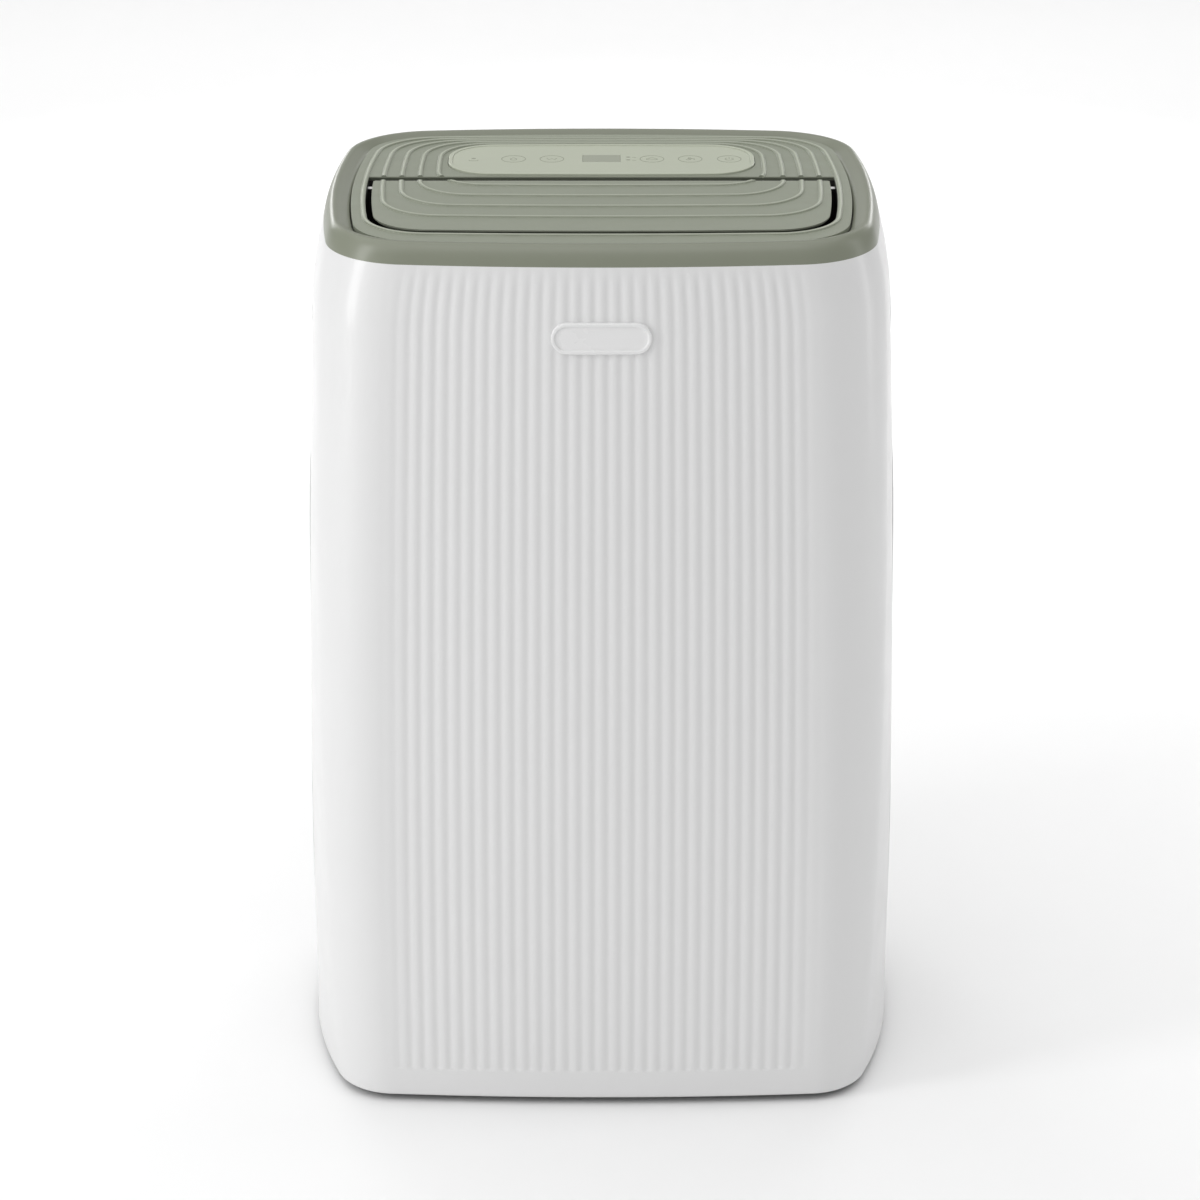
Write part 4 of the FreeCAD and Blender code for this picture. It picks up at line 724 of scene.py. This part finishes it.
ring_paths = [[point for point, out in ring_outline(number).loop(RING_STEPS)] for number in range(1, 6)]
plate_paths = [clipped(path, OPENING_REAR + 0.2, False) for path in ring_paths[:4]]
ribs("plate_ribs", plate_paths + [ring_paths[4]], "chassis", closed=(4,))
ribs("flap_ribs", [clipped(path, HINGE_Y - 0.1, True) for path in ring_paths[:4]], "flap")


# ---------- marks on the control fascia ----------

def ribbon(points, faces, path, width, closed=False, low=FASCIA_TOP - 0.05, high=FASCIA_TOP + 0.06):
    """A flat raised line along a path on the fascia."""
    count = len(path)
    first = len(points)
    for number, (x, y) in enumerate(path):
        before = Vector(path[number - 1] if number or closed else path[number])
        after = Vector(path[(number + 1) % count] if number < count - 1 or closed else path[number])
        run = (after - before).normalized()
        aside = Vector((-run.y, run.x)) * width / 2
        for sign, height in ((1, low), (-1, low), (-1, high), (1, high)):
            points.append((x + aside.x * sign, y + aside.y * sign, height))
    spans = count if closed else count - 1
    for number in range(spans):
        here = first + 4 * number
        there = first + 4 * ((number + 1) % count)
        for side in range(4):
            following = (side + 1) % 4
            faces.append((here + side, here + following, there + following, there + side))
    if not closed:
        faces.append(tuple(first + side for side in range(4)))
        faces.append(tuple(first + 4 * (count - 1) + side for side in (3, 2, 1, 0)))


def arc(x, y, radius, start, end, steps=24):
    turns = [math.radians(start + (end - start) * part / steps) for part in range(steps + 1)]
    return [(x + radius * math.cos(turn), y + radius * math.sin(turn)) for turn in turns]


def circle(x, y, radius, steps=48):
    return arc(x, y, radius, 0, 360, steps)[:-1]


TOUCH_SPOTS = (-54.0, -30.5, 31.0, 54.5, 78.5)
TOUCH_RADIUS = 7.3


def touch_marks():
    """Five touch rings with general symbols, a bracket under the tank lamp and two ticks."""
    points = []
    faces = []
    line = 0.42
    middle = FASCIA_MIDDLE + 1.0
    for x in TOUCH_SPOTS:
        ribbon(points, faces, circle(x, middle, TOUCH_RADIUS), 0.4, True)
    # water drop
    drop = [(-54.0, middle + 3.0)] + arc(-54.0, middle - 0.7, 1.9, 150, 390, 20)
    ribbon(points, faces, drop, line, True)
    # hanging cloth
    ribbon(points, faces, [(-33.6, middle + 1.8), (-32.2, middle - 1.8), (-30.5, middle + 0.6),
                           (-28.8, middle - 1.8), (-27.4, middle + 1.8)], line)
    # cloud
    cloud = arc(29.2, middle - 0.4, 1.5, 90, 270, 10) + arc(32.8, middle - 0.4, 1.5, -90, 60, 10)
    cloud += arc(30.9, middle + 0.7, 1.9, 20, 160, 10)
    ribbon(points, faces, cloud, line, True)
    # fan
    for turn in (90, 210, 330):
        x = 54.5 + 1.5 * math.cos(math.radians(turn))
        y = middle + 1.5 * math.sin(math.radians(turn))
        ribbon(points, faces, arc(x, y, 1.3, turn - 20, turn + 230, 12), line)
    # power
    ribbon(points, faces, arc(78.5, middle - 0.2, 2.5, 125, 415, 24), line)
    ribbon(points, faces, [(78.5, middle + 0.4), (78.5, middle + 3.4)], line)
    # tank full bracket under its lamp
    ribbon(points, faces, [(-81.2, middle - 2.4), (-81.2, middle - 4.2), (-75.8, middle - 4.2),
                           (-75.8, middle - 2.4)], line)
    # hour and percent ticks beside the window
    for y in (middle + 3.4, middle - 3.4):
        ribbon(points, faces, [(18.9, y), (21.4, y)], line)
    piece = new_piece("fascia_marks", mesh_from("fascia_marks", points, faces))
    piece.data.materials.append(moulded("mark_ink", (0.23, 0.25, 0.18), (0.4, 0.5), 900.0, 0.0, 0.1))
    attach(piece, "chassis")


touch_marks()


# ---------- room, light and camera ----------

def stage_floor():
    reach = 12.0
    corners = [(-reach, -reach, 0), (reach, -reach, 0), (reach, reach, 0), (-reach, reach, 0)]
    mesh = bpy.data.meshes.new("floor")
    mesh.from_pydata(corners, [], [(0, 1, 2, 3)])
    floor = new_piece("floor", mesh)
    floor.data.materials.append(moulded("pale_floor", (0.90, 0.90, 0.90), (0.6, 0.7), 60.0, 0.00001, 0.004))


def softbox(name, place, aim, size, power):
    light = bpy.data.lights.new(name, "AREA")
    light.shape = "RECTANGLE"
    light.size, light.size_y = size
    light.energy = power
    lamp = bpy.data.objects.new(name, light)
    lamp.location = place
    lamp.rotation_euler = (Vector(aim) - Vector(place)).to_track_quat("-Z", "Y").to_euler()
    lamp.visible_camera = False
    scene.collection.objects.link(lamp)


def studio():
    stage_floor()
    world = bpy.data.worlds.new("studio")
    world.use_nodes = True
    background = world.node_tree.nodes["Background"].inputs
    background["Color"].default_value = (1.0, 1.0, 1.0, 1.0)
    background["Strength"].default_value = 0.31
    scene.world = world
    sky = bpy.data.lights.new("overhead", "SUN")
    sky.energy = 1.75
    sky.angle = math.radians(100.0)
    lamp = bpy.data.objects.new("overhead", sky)
    lamp.rotation_euler = (math.radians(8.0), math.radians(-6.0), 0.0)
    scene.collection.objects.link(lamp)
    softbox("front_top", (0.0, -0.75, 1.35), (0.0, -0.1, 0.5), (1.0, 0.4), 0.7)
    softbox("left_key", (-1.75, -0.75, 0.85), (-0.1, 0.0, 0.32), (0.45, 1.6), 12.0)
    softbox("right_edge", (1.5, 0.1, 0.7), (0.18, -0.05, 0.3), (0.25, 1.4), 2.0)
    softbox("back_left", (-0.95, 1.9, 0.95), (0.0, 0.0, 0.55), (1.0, 0.6), 7.0)
    softbox("back_right", (0.95, 1.9, 0.95), (0.0, 0.0, 0.55), (1.0, 0.6), 6.5)
    softbox("far_floor", (0.0, 2.5, 0.95), (0.0, 2.5, 0.0), (3.2, 1.4), 6.5)
    scene.view_settings.view_transform = "Standard"
    scene.view_settings.look = "None"


def camera():
    view = bpy.data.cameras.new("camera")
    view.lens = 104.9
    view.sensor_width = 36.0
    eye = bpy.data.objects.new("camera", view)
    eye.location = (-0.0009, -2.027, 1.145)
    eye.rotation_euler = (math.radians(67.0), 0.0, 0.0)
    scene.collection.objects.link(eye)
    scene.camera = eye


studio()
camera()

bpy.context.view_layer.update()
